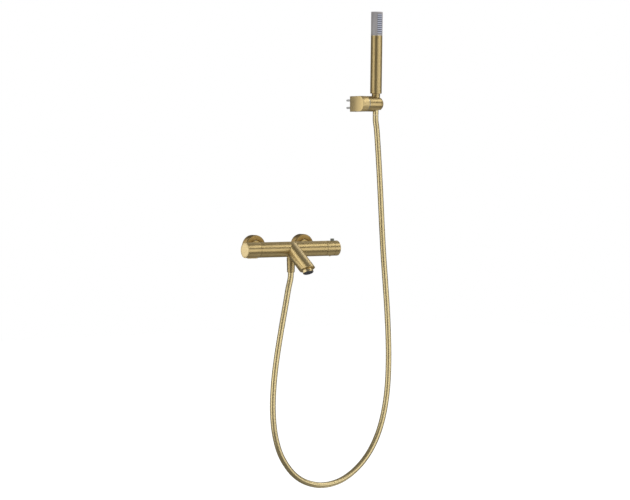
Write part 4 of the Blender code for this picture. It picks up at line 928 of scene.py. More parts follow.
# ============================================================================================ hose
@dataclass
class Hose(SubAssembly):
    """The flexible hose between the outlet under the bar and the hand shower."""

    diameter: float = 0.0155
    pitch: float = 0.0036
    groove: float = 0.00035
    sides: int = 20
    length: float = 1.76
    route: list[tuple[float, float, float]] = field(default_factory=lambda: [
        (0.0040, -0.0660, -0.0503), (0.0040, -0.0660, -0.0630), (0.0022, -0.0663, -0.079),
        (-0.0047, -0.0672, -0.104), (-0.0118, -0.0680, -0.137), (-0.0210, -0.0689, -0.178),
        (-0.0326, -0.0699, -0.232), (-0.0440, -0.0709, -0.291), (-0.0522, -0.0716, -0.350),
        (-0.0557, -0.0722, -0.408), (-0.0532, -0.0725, -0.459), (-0.0452, -0.0726, -0.501),
        (-0.0318, -0.0727, -0.538), (-0.0110, -0.0727, -0.5705), (0.0135, -0.0726, -0.5958),
        (0.0433, -0.0724, -0.614), (0.0766, -0.0723, -0.6245), (0.1064, -0.0721, -0.6273),
        (0.1360, -0.0719, -0.6243), (0.1650, -0.0716, -0.6158), (0.1960, -0.0712, -0.5996),
        (0.2270, -0.0707, -0.5755), (0.2540, -0.0701, -0.545), (0.2765, -0.0694, -0.5075),
        (0.2933, -0.0685, -0.4655), (0.3056, -0.0674, -0.417), (0.3130, -0.0662, -0.366),
        (0.3166, -0.0647, -0.307), (0.3168, -0.0631, -0.247), (0.3146, -0.0610, -0.177),
        (0.3106, -0.0589, -0.107), (0.3056, -0.0563, -0.028), (0.3020, -0.0537, 0.052),
        (0.2992, -0.0512, 0.132), (0.2964, -0.0490, 0.202), (0.2934, -0.0472, 0.262),
        (0.2904, -0.0457, 0.312), (0.2878, -0.0444, 0.335), (0.2874, -0.04416, 0.3445),
        (0.2874, -0.04434, 0.3527),
    ])

    def build(self, pieces_on_it: Sequence[bpy.types.Object]) -> bpy.types.Object:
        """Args:
            pieces_on_it: The nuts, sleeves and washers on its two ends; not used.

        Returns:
            The hose.
        """
        ribs = round(self.length / self.pitch)
        line = Workshop.even_line(self.route, 3 * ribs + 1)
        radius = self.diameter / 2
        bm = bmesh.new()
        side = Vector((0.0, -1.0, 0.0))
        rings: list[list[bmesh.types.BMVert]] = []
        for index, place in enumerate(line):
            ahead = (line[min(index + 1, len(line) - 1)] - line[max(index - 1, 0)]).normalized()
            side = (side - side.dot(ahead) * ahead).normalized()
            other = ahead.cross(side)
            size = radius - (self.groove if index % 3 == 0 else 0.0)
            rings.append([bm.verts.new(place + size * (math.cos(math.tau * k / self.sides) * side
                                                       + math.sin(math.tau * k / self.sides) * other))
                          for k in range(self.sides)])
        for low, high in zip(rings, rings[1:]):
            for k in range(self.sides):
                bm.faces.new([low[k], low[(k + 1) % self.sides], high[(k + 1) % self.sides], high[k]])
        bm.faces.new(rings[0])
        bm.faces.new(rings[-1])
        bmesh.ops.recalc_face_normals(bm, faces=bm.faces)
        here = Seat(Vector((0, 0, 0)), Vector((0, 0, 1)), Vector((1, 0, 0)))
        hose = Workshop.piece("hose_cover", bm, here, [self.shelf.take("hose_cover")])
        Workshop.smooth(hose, 60.0)
        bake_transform(hose)
        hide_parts("shower_hose")
        LOG.info("built the hose, %.3f m long", self.length)
        return hose


@dataclass
class HoseEnds(SubAssembly):
    """The nuts, sleeves and washers on the two ends of the hose."""

    gap: float = 0.0003
    thread: float = 0.0093
    hose_radius: float = 0.00775
    bore: float = 0.0045
    lower_nut: tuple[float, float, float, float] = (0.0230, 0.0610, 0.0110, 0.0099)
    upper_nut: tuple[float, float, float, float] = (-0.0160, 0.0273, 0.0098, 0.01135)
    sleeve_low: float = -0.0300
    sleeve_top: float = 0.0094
    sleeve_flange: float = 0.0119

    def nut(self, name: str, ends: tuple[float, float, float, float], shoulder: float, seat: Seat,
            small_end_low: bool) -> bpy.types.Object:
        """A long tapered nut with a rounded rim and one fine turned ring.

        Args:
            name: The piece's name.
            ends: Low and high ends and the radius at each.
            shoulder: Height of the inner shoulder.
            seat: The axis it is turned about.
            small_end_low: Whether the hose leaves at the low end.

        Returns:
            The nut.
        """
        low, high, low_radius, high_radius = ends
        ring_at = high - 0.0045 if small_end_low else low + 0.0045
        share = (ring_at - low) / (high - low)
        radius = low_radius + (high_radius - low_radius) * share
        cut, half = 0.00022, 0.00035
        side = [(low_radius, low, 0.0007), (radius, ring_at - half, 0.0), (radius - cut, ring_at, 0.0),
                (radius, ring_at + half, 0.0), (high_radius, high, 0.0007)]
        hose, thread = self.hose_radius + self.gap, self.thread + self.gap
        if small_end_low:
            outline = [(hose, low, 0.0004), *side, (thread, high, 0.0003), (thread, shoulder, 0.0),
                       (hose, shoulder, 0.0)]
        else:
            outline = [(thread, low, 0.0003), *side, (hose, high, 0.0004), (hose, shoulder, 0.0),
                       (thread, shoulder, 0.0)]
        return Workshop.piece(name, Workshop.turned(outline), seat, [self.shelf.take("gold_along_z")])

    def build(self) -> list[bpy.types.Object]:
        """Build both ends.

        Returns:
            The pieces on the hose, nodes included.
        """
        outlet, stick = self.layout.outlet(), self.layout.stick()
        lower = self.nut("lower_nut", self.lower_nut, 0.0399, outlet, False)
        self.settle(lower, "mixer", "brushed_gold", "lower_hose_nut")
        upper = self.nut("upper_nut", self.upper_nut, 0.0091, stick, True)
        self.settle(upper, "handset", "brushed_gold", "upper_hose_nut")
        sleeve = self.upper_sleeve(stick)
        self.dress("machined_brass", "lower_hose_ferrule", "shower_outlet_nipple")
        self.dress("rubber", "lower_hose_washer", "upper_hose_washer")
        nodes = frame["nodes"]
        return [lower, upper, sleeve, nodes["lower_hose_ferrule"], nodes["lower_hose_washer"],
                nodes["upper_hose_washer"]]

    def upper_sleeve(self, stick: Seat) -> bpy.types.Object:
        """The crimped sleeve, which draws out with the hose as the hand shower lifts.

        Args:
            stick: The hand shower's axis.

        Returns:
            The sleeve.
        """
        step, hose = 0.0026, self.hose_radius
        waist = [(hose, self.sleeve_low + step * k, 0.0) for k in range(1, 14)]
        outline = [(self.bore, self.sleeve_low, 0.0), (hose, self.sleeve_low, 0.0), *waist,
                   (hose, self.sleeve_top, 0.0002), (self.thread, self.sleeve_top, 0.0002),
                   (self.thread, self.sleeve_flange, 0.0002), (self.bore, self.sleeve_flange, 0.0)]
        sleeve = Workshop.piece("upper_sleeve", Workshop.turned(outline, 48), stick,
                                [self.shelf.take("hose_cover")])
        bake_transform(sleeve)
        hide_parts("upper_hose_sleeve")
        LOG.info("built the upper sleeve")
        return sleeve


# ============================================================================================ wall unions
@dataclass
class WallUnion(SubAssembly):
    """One inlet: the S-union in the wall, its flange and its union nut."""

    side: Side = Side.LEFT
    flange_radius: float = 0.03075
    flange_depth: float = 0.0200
    flange_wall: float = 0.0025
    flange_fillet: float = 0.0042
    collar_radius: float = 0.0160
    collar_proud: float = 0.0015
    wall_thread: tuple[float, float, float] = (0.0093, 0.01005, 0.0180)   # root, crest, length
    thread_pitch: float = 0.001814
    union_thread: tuple[float, float] = (0.0121, 0.0340)
    nut_flats: float = 0.0300
    nut_span: tuple[float, float] = (0.0236, 0.0446)
    nut_bore: float = 0.0124
    neck_hole: float = 0.0103
    nut_shoulder: float = 0.0406
    bores: tuple[float, float] = (0.0065, 0.0075)

    def build(self) -> None:
        """Build the flange, the union and the nut, and dress what is inside them."""
        self.flange()
        self.s_union()
        self.nut()
        word = self.side.word
        self.dress("rubber", f"{word}_filter_washer")
        self.dress("pale_plastic", f"{word}_check_valve")

    def flange(self) -> None:
        """The round cover on the wall: a spun cup with a soft edge and a shallow step round the union."""
        outer, depth, wall = self.flange_radius, self.flange_depth, self.flange_wall
        hole = self.collar_radius + 0.0003
        outline = [(outer - wall, 0.0, 0.0003), (outer, 0.0, 0.0003), (outer, depth, self.flange_fillet),
                   (hole + 0.0022, depth, 0.0003), (hole + 0.0018, depth - 0.0004, 0.0002),
                   (hole, depth - 0.0004, 0.0002),
                   (hole, depth - wall, 0.0002), (outer - wall, depth - wall, 0.0022)]
        # The flange's darker gold is painted shade, not a finish of its own.
        piece = Workshop.piece(f"{self.side.word}_wall_flange", Workshop.turned(outline, 128),
                               self.layout.wall_socket(self.side), [self.shelf.take("gold_flange")])
        self.settle(piece, "mixer", "brushed_gold", f"{self.side.word}_flange")

    def s_union(self) -> None:
        """The S-union: a threaded tail in the wall, a collar and an offset union thread."""
        root, crest, length = self.wall_thread
        collar_end = self.flange_depth + self.collar_proud
        turns = int(length / self.thread_pitch)
        tail: list[OutlinePoint] = [(0.0, -length, 0.0), (root - 0.0006, -length, 0.0)]
        for turn in range(turns):
            foot = -length + turn * self.thread_pitch
            tail += [(root, foot + 0.2 * self.thread_pitch, 0.0),
                     (crest, foot + 0.6 * self.thread_pitch, 0.0)]
        tail += [(root, -0.0006, 0.0), (root, 0.0, 0.0), (self.collar_radius, 0.0, 0.0005),
                 (self.collar_radius, collar_end, 0.0008), (0.0, collar_end, 0.0)]
        socket, inlet = self.layout.wall_socket(self.side), self.layout.inlet(self.side)
        piece = Workshop.piece(f"{self.side.word}_offset_union", Workshop.turned(tail, 64), socket,
                               [self.shelf.take("machined_brass")])
        radius, end = self.union_thread
        thread = [(0.0, collar_end - 0.001, 0.0), (radius, collar_end - 0.001, 0.0), (radius, end, 0.0006),
                  (0.0, end, 0.0)]
        Workshop.change(piece, Workshop.turned(thread, 64), inlet, Cutting.JOIN)
        wall_bore, union_bore = self.bores
        hole = [(0.0, -length - 0.01, 0.0), (wall_bore, -length - 0.01, 0.0),
                (wall_bore, 0.8 * collar_end, 0.0),
                (0.0, 0.8 * collar_end, 0.0)]
        Workshop.change(piece, Workshop.turned(hole, 48), socket, Cutting.CUT)
        hole = [(0.0, 0.4 * collar_end, 0.0), (union_bore, 0.4 * collar_end, 0.0),
                (union_bore, end + 0.01, 0.0),
                (0.0, end + 0.01, 0.0)]
        Workshop.change(piece, Workshop.turned(hole, 48), inlet, Cutting.CUT)
        self.settle(piece, "mixer", "brass", f"{self.side.word}_s_union")

    def nut(self) -> None:
        """The hexagon nut, with its corners turned off at both ends."""
        low, high = self.nut_span
        corner = self.nut_flats / 2 / math.cos(math.pi / 6)
        hexagon = [(corner * math.cos(math.tau * k / 6),
                    corner * math.sin(math.tau * k / 6)) for k in range(6)]
        inlet = self.layout.inlet(self.side)
        piece = Workshop.piece(f"{self.side.word}_hexagon_nut", Workshop.prism(hexagon, low, high), inlet,
                               [self.shelf.take("gold_along_y")])
        face = self.nut_flats / 2 - 0.0004
        drum = [(0.0, low - 0.001, 0.0), (face - 0.001, low - 0.001, 0.0), (face, low, 0.0),
                (corner, low + 0.0016, 0.0), (corner + 0.001, low + 0.003, 0.0),
                (corner + 0.001, high - 0.003, 0.0),
                (corner, high - 0.0016, 0.0), (face, high, 0.0), (face - 0.001, high + 0.001, 0.0),
                (0.0, high + 0.001, 0.0)]
        Workshop.change(piece, Workshop.turned(drum), inlet, Cutting.KEEP_COMMON)
        hole = [(0.0, low - 0.01, 0.0), (self.nut_bore, low - 0.01, 0.0),
                (self.nut_bore, self.nut_shoulder, 0.0),
                (self.neck_hole, self.nut_shoulder, 0.0), (self.neck_hole, high + 0.01, 0.0),
                (0.0, high + 0.01, 0.0)]
        Workshop.change(piece, Workshop.turned(hole, 64), inlet, Cutting.CUT)
        self.settle(piece, "mixer", "brushed_gold", f"{self.side.word}_union_nut")


# ============================================================================================ body
@dataclass
class BarBody(SubAssembly):
    """The cast body: the bar, two inlet stubs, the sloping spout and the outlet boss."""

    radius: float = 0.0200
    length: float = 0.2040
    bore: float = 0.0155
    flow_depth: float = 0.0620
    thermostat_depth: float = 0.0780
    projection: float = 0.0750
    end_fillet: float = 0.0008
    lip: tuple[float, float, float] = (0.0118, 0.0373, 0.0030)   # radius, start, length
    neck: float = 0.0100
    inlet_bore: float = 0.0078
    spout_radius: float = 0.01925
    spout_length: float = 0.0920
    spout_droop: float = SPOUT_DROOP
    spout_rise: float = 0.0023
    spout_end_angle: float = math.radians(31.5)
    spout_bore: float = 0.0100
    mouth: tuple[float, float] = (0.0120, 0.0118)
    boss: tuple[float, float, float] = (0.0107, 0.0020, 0.0225)
    outlet_hole: float = 0.0080

    def spout_seat(self) -> Seat:
        """The spout's axis, from the bar outward."""
        along = Vector((0.0, -math.cos(self.spout_droop), -math.sin(self.spout_droop)))
        above = along.cross(Vector((1.0, 0.0, 0.0)))
        middle = Vector(self.layout.joints["flow_knob_turn"]["pos_m"])
        middle.x = 0.0
        return Seat(middle + self.spout_rise * above, along, Vector((1, 0, 0)))

    def spout_mouth(self) -> Seat:
        """The centre of the spout's oblique end, looking out of it."""
        spout = self.spout_seat()
        above = spout.along.cross(Vector((1.0, 0.0, 0.0)))
        normal = spout.along * math.cos(self.spout_end_angle) - above * math.sin(self.spout_end_angle)
        return Seat(spout.origin + self.spout_length * spout.along, normal, Vector((1, 0, 0)))

    def spout_mesh(self) -> bmesh.types.BMesh:
        """The spout as a round bar with an oblique end, its rim rounded.

        Returns:
            The bar, along its own Z.
        """
        bm = bmesh.new()
        bmesh.ops.create_cone(bm, cap_ends=True, segments=Workshop.ROUND, radius1=self.spout_radius,
                              radius2=self.spout_radius, depth=1.0)
        for vert in bm.verts:
            top = self.spout_length + vert.co.y * math.tan(self.spout_end_angle)
            vert.co.z = 0.0 if vert.co.z < 0.0 else top
        rim = [e for e in bm.edges if all(v.co.z > 0.01 for v in e.verts)]
        bmesh.ops.bevel(bm, geom=rim, offset=0.0005, segments=2, profile=0.5, affect="EDGES")
        return bm

    def build(self) -> None:
        """Build the whole casting."""
        right = self.layout.bar_end(Side.RIGHT)
        floor = -self.length + self.flow_depth
        fillet = self.end_fillet
        bar = [(0.0, floor, 0.0), (self.bore, floor, 0.0), (self.bore, -self.length, fillet),
               (self.radius, -self.length, fillet), (self.radius, 0.0, fillet), (self.bore, 0.0, fillet),
               (self.bore, -self.thermostat_depth, 0.0), (0.0, -self.thermostat_depth, 0.0)]
        body = Workshop.piece("bar_casting", Workshop.turned(bar, 128), right,
                              [self.shelf.take("gold_along_x"), self.shelf.take("gold_spout")])
        lip_radius, lip_start, lip_length = self.lip
        root = self.projection - self.bore - 0.0007
        stub = [(0.0, lip_start, 0.0), (lip_radius, lip_start, 0.0003),
                (lip_radius, lip_start + lip_length, 0.0003),
                (self.neck, lip_start + lip_length, 0.0), (self.neck, root, 0.0), (0.0, root, 0.0)]
        for side in Side:
            Workshop.change(body, Workshop.turned(stub, 64), self.layout.inlet(side), Cutting.JOIN)
        Workshop.change(body, self.spout_mesh(), self.spout_seat(), Cutting.JOIN)
        boss_radius, boss_start, boss_end = self.boss
        boss = [(0.0, boss_start, 0.0), (boss_radius, boss_start, 0.0), (boss_radius, boss_end, 0.0004),
                (0.0, boss_end, 0.0)]
        outlet = self.layout.outlet()
        Workshop.change(body, Workshop.turned(boss, 64), outlet, Cutting.JOIN)
        self.bore_out(body, right, outlet)
        self.brush_spout(body)
        Workshop.smooth(body, 24.0)
        self.settle(body, "mixer", "brushed_gold", "mixer_body")

    def brush_spout(self, body: bpy.types.Object) -> None:
        """Give the spout's faces the finish that is brushed round the spout's own axis.

        Args:
            body: The casting.
        """
        clear_of_bar, off_skin = 0.012, 0.0012
        spout = self.spout_seat()
        along = spout.along.normalized()
        for face in body.data.polygons:
            offset = face.center - spout.origin
            reach = offset.dot(along)
            if reach > clear_of_bar and abs((offset - reach * along).length - self.spout_radius) < off_skin:
                face.material_index = 1

    def bore_out(self, body: bpy.types.Object, right: Seat, outlet: Seat) -> None:
        """Cut the waterways into the casting.

        Args:
            body: The casting.
            right: The bar's right end.
            outlet: The hose outlet's axis.
        """
        def rod(radius: float, low: float, high: float) -> bmesh.types.BMesh:
            """A plain round cutter."""
            return Workshop.turned([(0.0, low, 0.0), (radius, low, 0.0), (radius, high, 0.0),
                                    (0.0, high, 0.0)], 48)

        floor = -self.length + self.flow_depth
        Workshop.change(body, rod(0.009, floor - 0.005, -self.thermostat_depth + 0.005), right, Cutting.CUT)
        for side in Side:
            Workshop.change(body, rod(self.inlet_bore, self.lip[1] - 0.005, self.projection),
                            self.layout.inlet(side), Cutting.CUT)
        mouth_radius, mouth_depth = self.mouth
        Workshop.change(body, rod(self.spout_bore, 0.0, self.spout_length - mouth_depth / 2),
                        self.spout_seat(),
                        Cutting.CUT)
        Workshop.change(body, rod(mouth_radius, -mouth_depth, 0.01), self.spout_mouth(), Cutting.CUT)
        Workshop.change(body, rod(self.outlet_hole, 0.004, self.boss[2] + 0.01), outlet, Cutting.CUT)


# ============================================================================================ knob ends
@dataclass
class KnobEnd(SubAssembly):
    """What both knobs share: the shell, its cap and its place on the bar."""

    side: Side = Side.LEFT
    node: str = "flow_knob"
    start: float = 0.0005
    end: float = 0.0405
    radius: float = 0.0200
    shell: float = 0.0165
    cap_seat: float = 0.0380
    cap_radius: float = 0.0187
    edge: float = 0.0009
    seam: float = 0.0008
    hub: tuple[float, float] = (0.0075, 0.0080)
    floor: float = 0.0345
    spindle: float = 0.0053
    spindle_top: float = 0.0303
    screw: tuple[float, float, float] = (0.0023, 0.0041, 0.0350)

    def side_line(self) -> list[OutlinePoint]:
        """The outside of the shell, from the body to the end."""
        return [(self.radius, self.start, self.seam), (self.radius, self.end, self.edge)]

    def shell_piece(self) -> bpy.types.Object:
        """Turn the knob's shell.

        Returns:
            The shell, not yet riding on its body.
        """
        seat_radius = self.cap_radius
        shank, head, head_seat = self.screw
        outline: list[OutlinePoint] = [(self.shell, self.start, 0.0003), *self.side_line(),
                                       (seat_radius, self.end, 0.0002), (seat_radius, self.cap_seat, 0.0),
                                       (head, self.cap_seat, 0.0), (head, head_seat, 0.0),
                                       (shank, head_seat, 0.0),
                                       (shank, self.spindle_top, 0.0), (self.spindle, self.spindle_top, 0.0),
                                       (self.spindle, self.hub[1], 0.0), (self.hub[0], self.hub[1], 0.0),
                                       (self.hub[0], self.floor, 0.0), (self.shell, self.floor, 0.0005)]
        return Workshop.piece(f"{self.node}_shell", Workshop.turned(outline, 128),
                              self.layout.bar_end(self.side), [self.shelf.take("gold_along_x")])

    def cap(self) -> None:
        """The pressed cap in the knob's end, with one fine turned ring and a soft rim."""
        low, high, radius = self.cap_seat + 0.0003, self.end, self.cap_radius - 0.0003
        ring = radius - 0.0022
        outline = [(0.0, low, 0.0), (radius, low, 0.0), (radius, high - 0.0001, 0.0005),
                   (ring + 0.0003, high - 0.0001, 0.0),
                   (ring, high - 0.0003, 0.0), (ring - 0.0003, high - 0.0001, 0.0), (0.006, high, 0.0),
                   (0.0, high, 0.0)]
        piece = Workshop.piece(f"{self.node}_end_cap", Workshop.turned(outline, 128),
                               self.layout.bar_end(self.side),
                               [self.shelf.take("gold_cap")])
        self.settle(piece, self.node, "bright_gold", f"{self.node}_cap")


@dataclass
class FlowEnd(KnobEnd):
    """The left end: the flow knob with its finger rib, over the ceramic disc cartridge."""

    rib: tuple[float, float, float, float] = (0.0035, 0.0016, 0.0040, 0.0310)   # half width, height, from, to

    def build(self) -> None:
        """Build the knob and dress the cartridge."""
        knob = self.shell_piece()
        half, height, low, high = self.rib
        rib = Workshop.block((-half, -self.radius - height, low), (half, -self.radius + height, high), 0.0007)
        Workshop.change(knob, rib, self.layout.bar_end(self.side), Cutting.JOIN)
        self.settle(knob, "flow_knob", "brushed_gold", "flow_knob")
        self.cap()
        self.dress("machined_brass", "flow_spindle", "flow_lock_ring")
        self.dress("pale_plastic", "flow_cartridge")
        self.dress("ceramic", "flow_moving_disc", "flow_fixed_disc")
        self.dress("rubber", "flow_base_seal")
        self.dress("steel", "flow_knob_screw")


@dataclass
class TemperatureEnd(KnobEnd):
    """The right end: the temperature knob with its safety button, over the thermostat."""

    side: Side = Side.RIGHT
    node: str = "temperature_knob"
    groove: tuple[float, float, float] = (0.0241, 0.0006, 0.0005)   # start, width, depth
    index: tuple[float, float, float] = (0.0025, 0.0012, 0.0181)    # radius, height, place
    button_out: float = 0.0257
    button_radius: float = 0.0050
    button_top: float = 0.0255
    button_flange: tuple[float, float, float] = (0.0065, 0.0128, 0.0148)

    def side_line(self) -> list[OutlinePoint]:
        """The outside of the shell, with the fine groove beside the button."""
        start, width, depth = self.groove
        radius = self.radius
        return [(radius, self.start, self.seam), (radius, start, 0.0001), (radius - depth, start, 0.0),
                (radius - depth, start + width, 0.0), (radius, start + width, 0.0001),
                (radius, self.end, self.edge)]

    def button_seat(self) -> Seat:
        """The button's axis, from the bar's axis upward."""
        end = self.layout.bar_end(self.side)
        return Seat(end.origin + self.button_out * end.along, Vector((0, 0, 1)), Vector((1, 0, 0)))

    def build(self) -> None:
        """Build the knob and the button, and dress the thermostat."""
        knob = self.shell_piece()
        radius, height, place = self.index
        end = self.layout.bar_end(self.side)
        below = Seat(end.origin + place * end.along, Vector((0, 0, -1)), Vector((1, 0, 0)))
        nub = [(0.0, self.radius - height, 0.0), (radius, self.radius - height, 0.0),
               (radius, self.radius + height, 0.0008), (0.0, self.radius + height, 0.0)]
        Workshop.change(knob, Workshop.turned(nub, 48), below, Cutting.JOIN)
        button = self.button_seat()
        hole = [(0.0, 0.015, 0.0), (self.button_radius + 0.0003, 0.015, 0.0),
                (self.button_radius + 0.0003, 0.040, 0.0), (0.0, 0.040, 0.0)]
        Workshop.change(knob, Workshop.turned(hole, 64), button, Cutting.CUT)
        self.settle(knob, "temperature_knob", "brushed_gold", "temperature_knob")
        self.cap()
        flange, low, high = self.button_flange
        cap = [(0.0, low, 0.0), (flange, low, 0.0002), (flange, high, 0.0002),
               (self.button_radius, high, 0.0),
               (self.button_radius, self.button_top, 0.0012), (0.0028, self.button_top, 0.0004),
               (0.0, self.button_top - 0.0003, 0.0)]
        piece = Workshop.piece("safety_stop_button", Workshop.turned(cap, 64), button,
                               [self.shelf.take("button")])
        self.settle(piece, "safety_button", "button_grey", "safety_button")
        self.dress("machined_brass", "thermostat_spindle", "thermostat_lock_ring")
        self.dress("pale_plastic", "thermostat_housing", "thermostat_slider", "temperature_stop_ring")
        self.dress("copper", "thermostat_element")
        self.dress("steel", "thermostat_spring", "safety_button_spring", "temperature_knob_screw")


# ============================================================================================ aerator
@dataclass
class Aerator(SubAssembly):
    """The aerator in the spout's oblique end."""

    body: Optional[BarBody] = None
    thread: float = 0.0117
    bore: float = 0.0095
    radius: float = 0.0140
    length: float = 0.0095
    recess: float = 0.0131
    recess_floor: float = 0.0035
    inner_end: float = -0.0090
    spokes: int = 18
    rings: tuple[float, ...] = (0.0040, 0.0072, 0.0104)

    def build(self) -> None:
        """Build the ring and the screen, and dress the seal."""
        mouth = self.body.spout_mouth()
        housing = [(self.bore, self.inner_end, 0.0), (self.thread, self.inner_end, 0.0003),
                   (self.thread, 0.0003, 0.0),
                   (self.radius, 0.0003, 0.0004), (self.radius, self.length, 0.0005),
                   (self.recess, self.length, 0.0003),
                   (self.recess, self.recess_floor, 0.0), (self.bore, self.recess_floor, 0.0)]
        ring = Workshop.piece("aerator_ring", Workshop.turned(housing), mouth,
                              [self.shelf.take("gold_aerator")])
        self.settle(ring, "mixer", "bright_gold", "aerator_housing")
        screen = Workshop.piece("aerator_screen", self.screen_mesh(), mouth,
                                [self.shelf.take("aerator_mesh")])
        self.settle(screen, "mixer", "dark_plastic", "aerator_insert")
        self.dress("rubber", "aerator_seal")

    def screen_mesh(self) -> bmesh.types.BMesh:
        """The insert: a cup with concentric rings and spokes over its outlet face.

        Returns:
            The insert, along the spout's mouth.
        """
        outer, top = self.recess - 0.0003, self.length + 0.0010
        floor = top - 0.0022
        cup = [(0.0, self.inner_end, 0.0), (self.bore - 0.0003, self.inner_end, 0.0),
               (self.bore - 0.0003, self.recess_floor + 0.0003, 0.0),
               (outer, self.recess_floor + 0.0003, 0.0),
               (outer, top, 0.0004), (outer - 0.0014, top, 0.0003), (outer - 0.0014, floor, 0.0),
               (0.0, floor, 0.0)]
        bm = Workshop.turned(cup, 72)
        for radius in self.rings:
            ring = [(radius - 0.0003, floor + 0.0001, 0.0), (radius + 0.0003, floor + 0.0001, 0.0),
                    (radius + 0.0003, top - 0.0005, 0.0), (radius - 0.0003, top - 0.0005, 0.0)]
            Workshop.merge(bm, Workshop.turned(ring, 48))
        for spoke in range(self.spokes):
            bar = Workshop.block((0.0022, -0.00022, floor + 0.0001), (outer - 0.0015, 0.00022, top - 0.0007))
            bmesh.ops.rotate(bar, verts=bar.verts, cent=(0, 0, 0),
                             matrix=Matrix.Rotation(math.tau * spoke / self.spokes, 3, "Z"))
            Workshop.merge(bm, bar)
        return bm


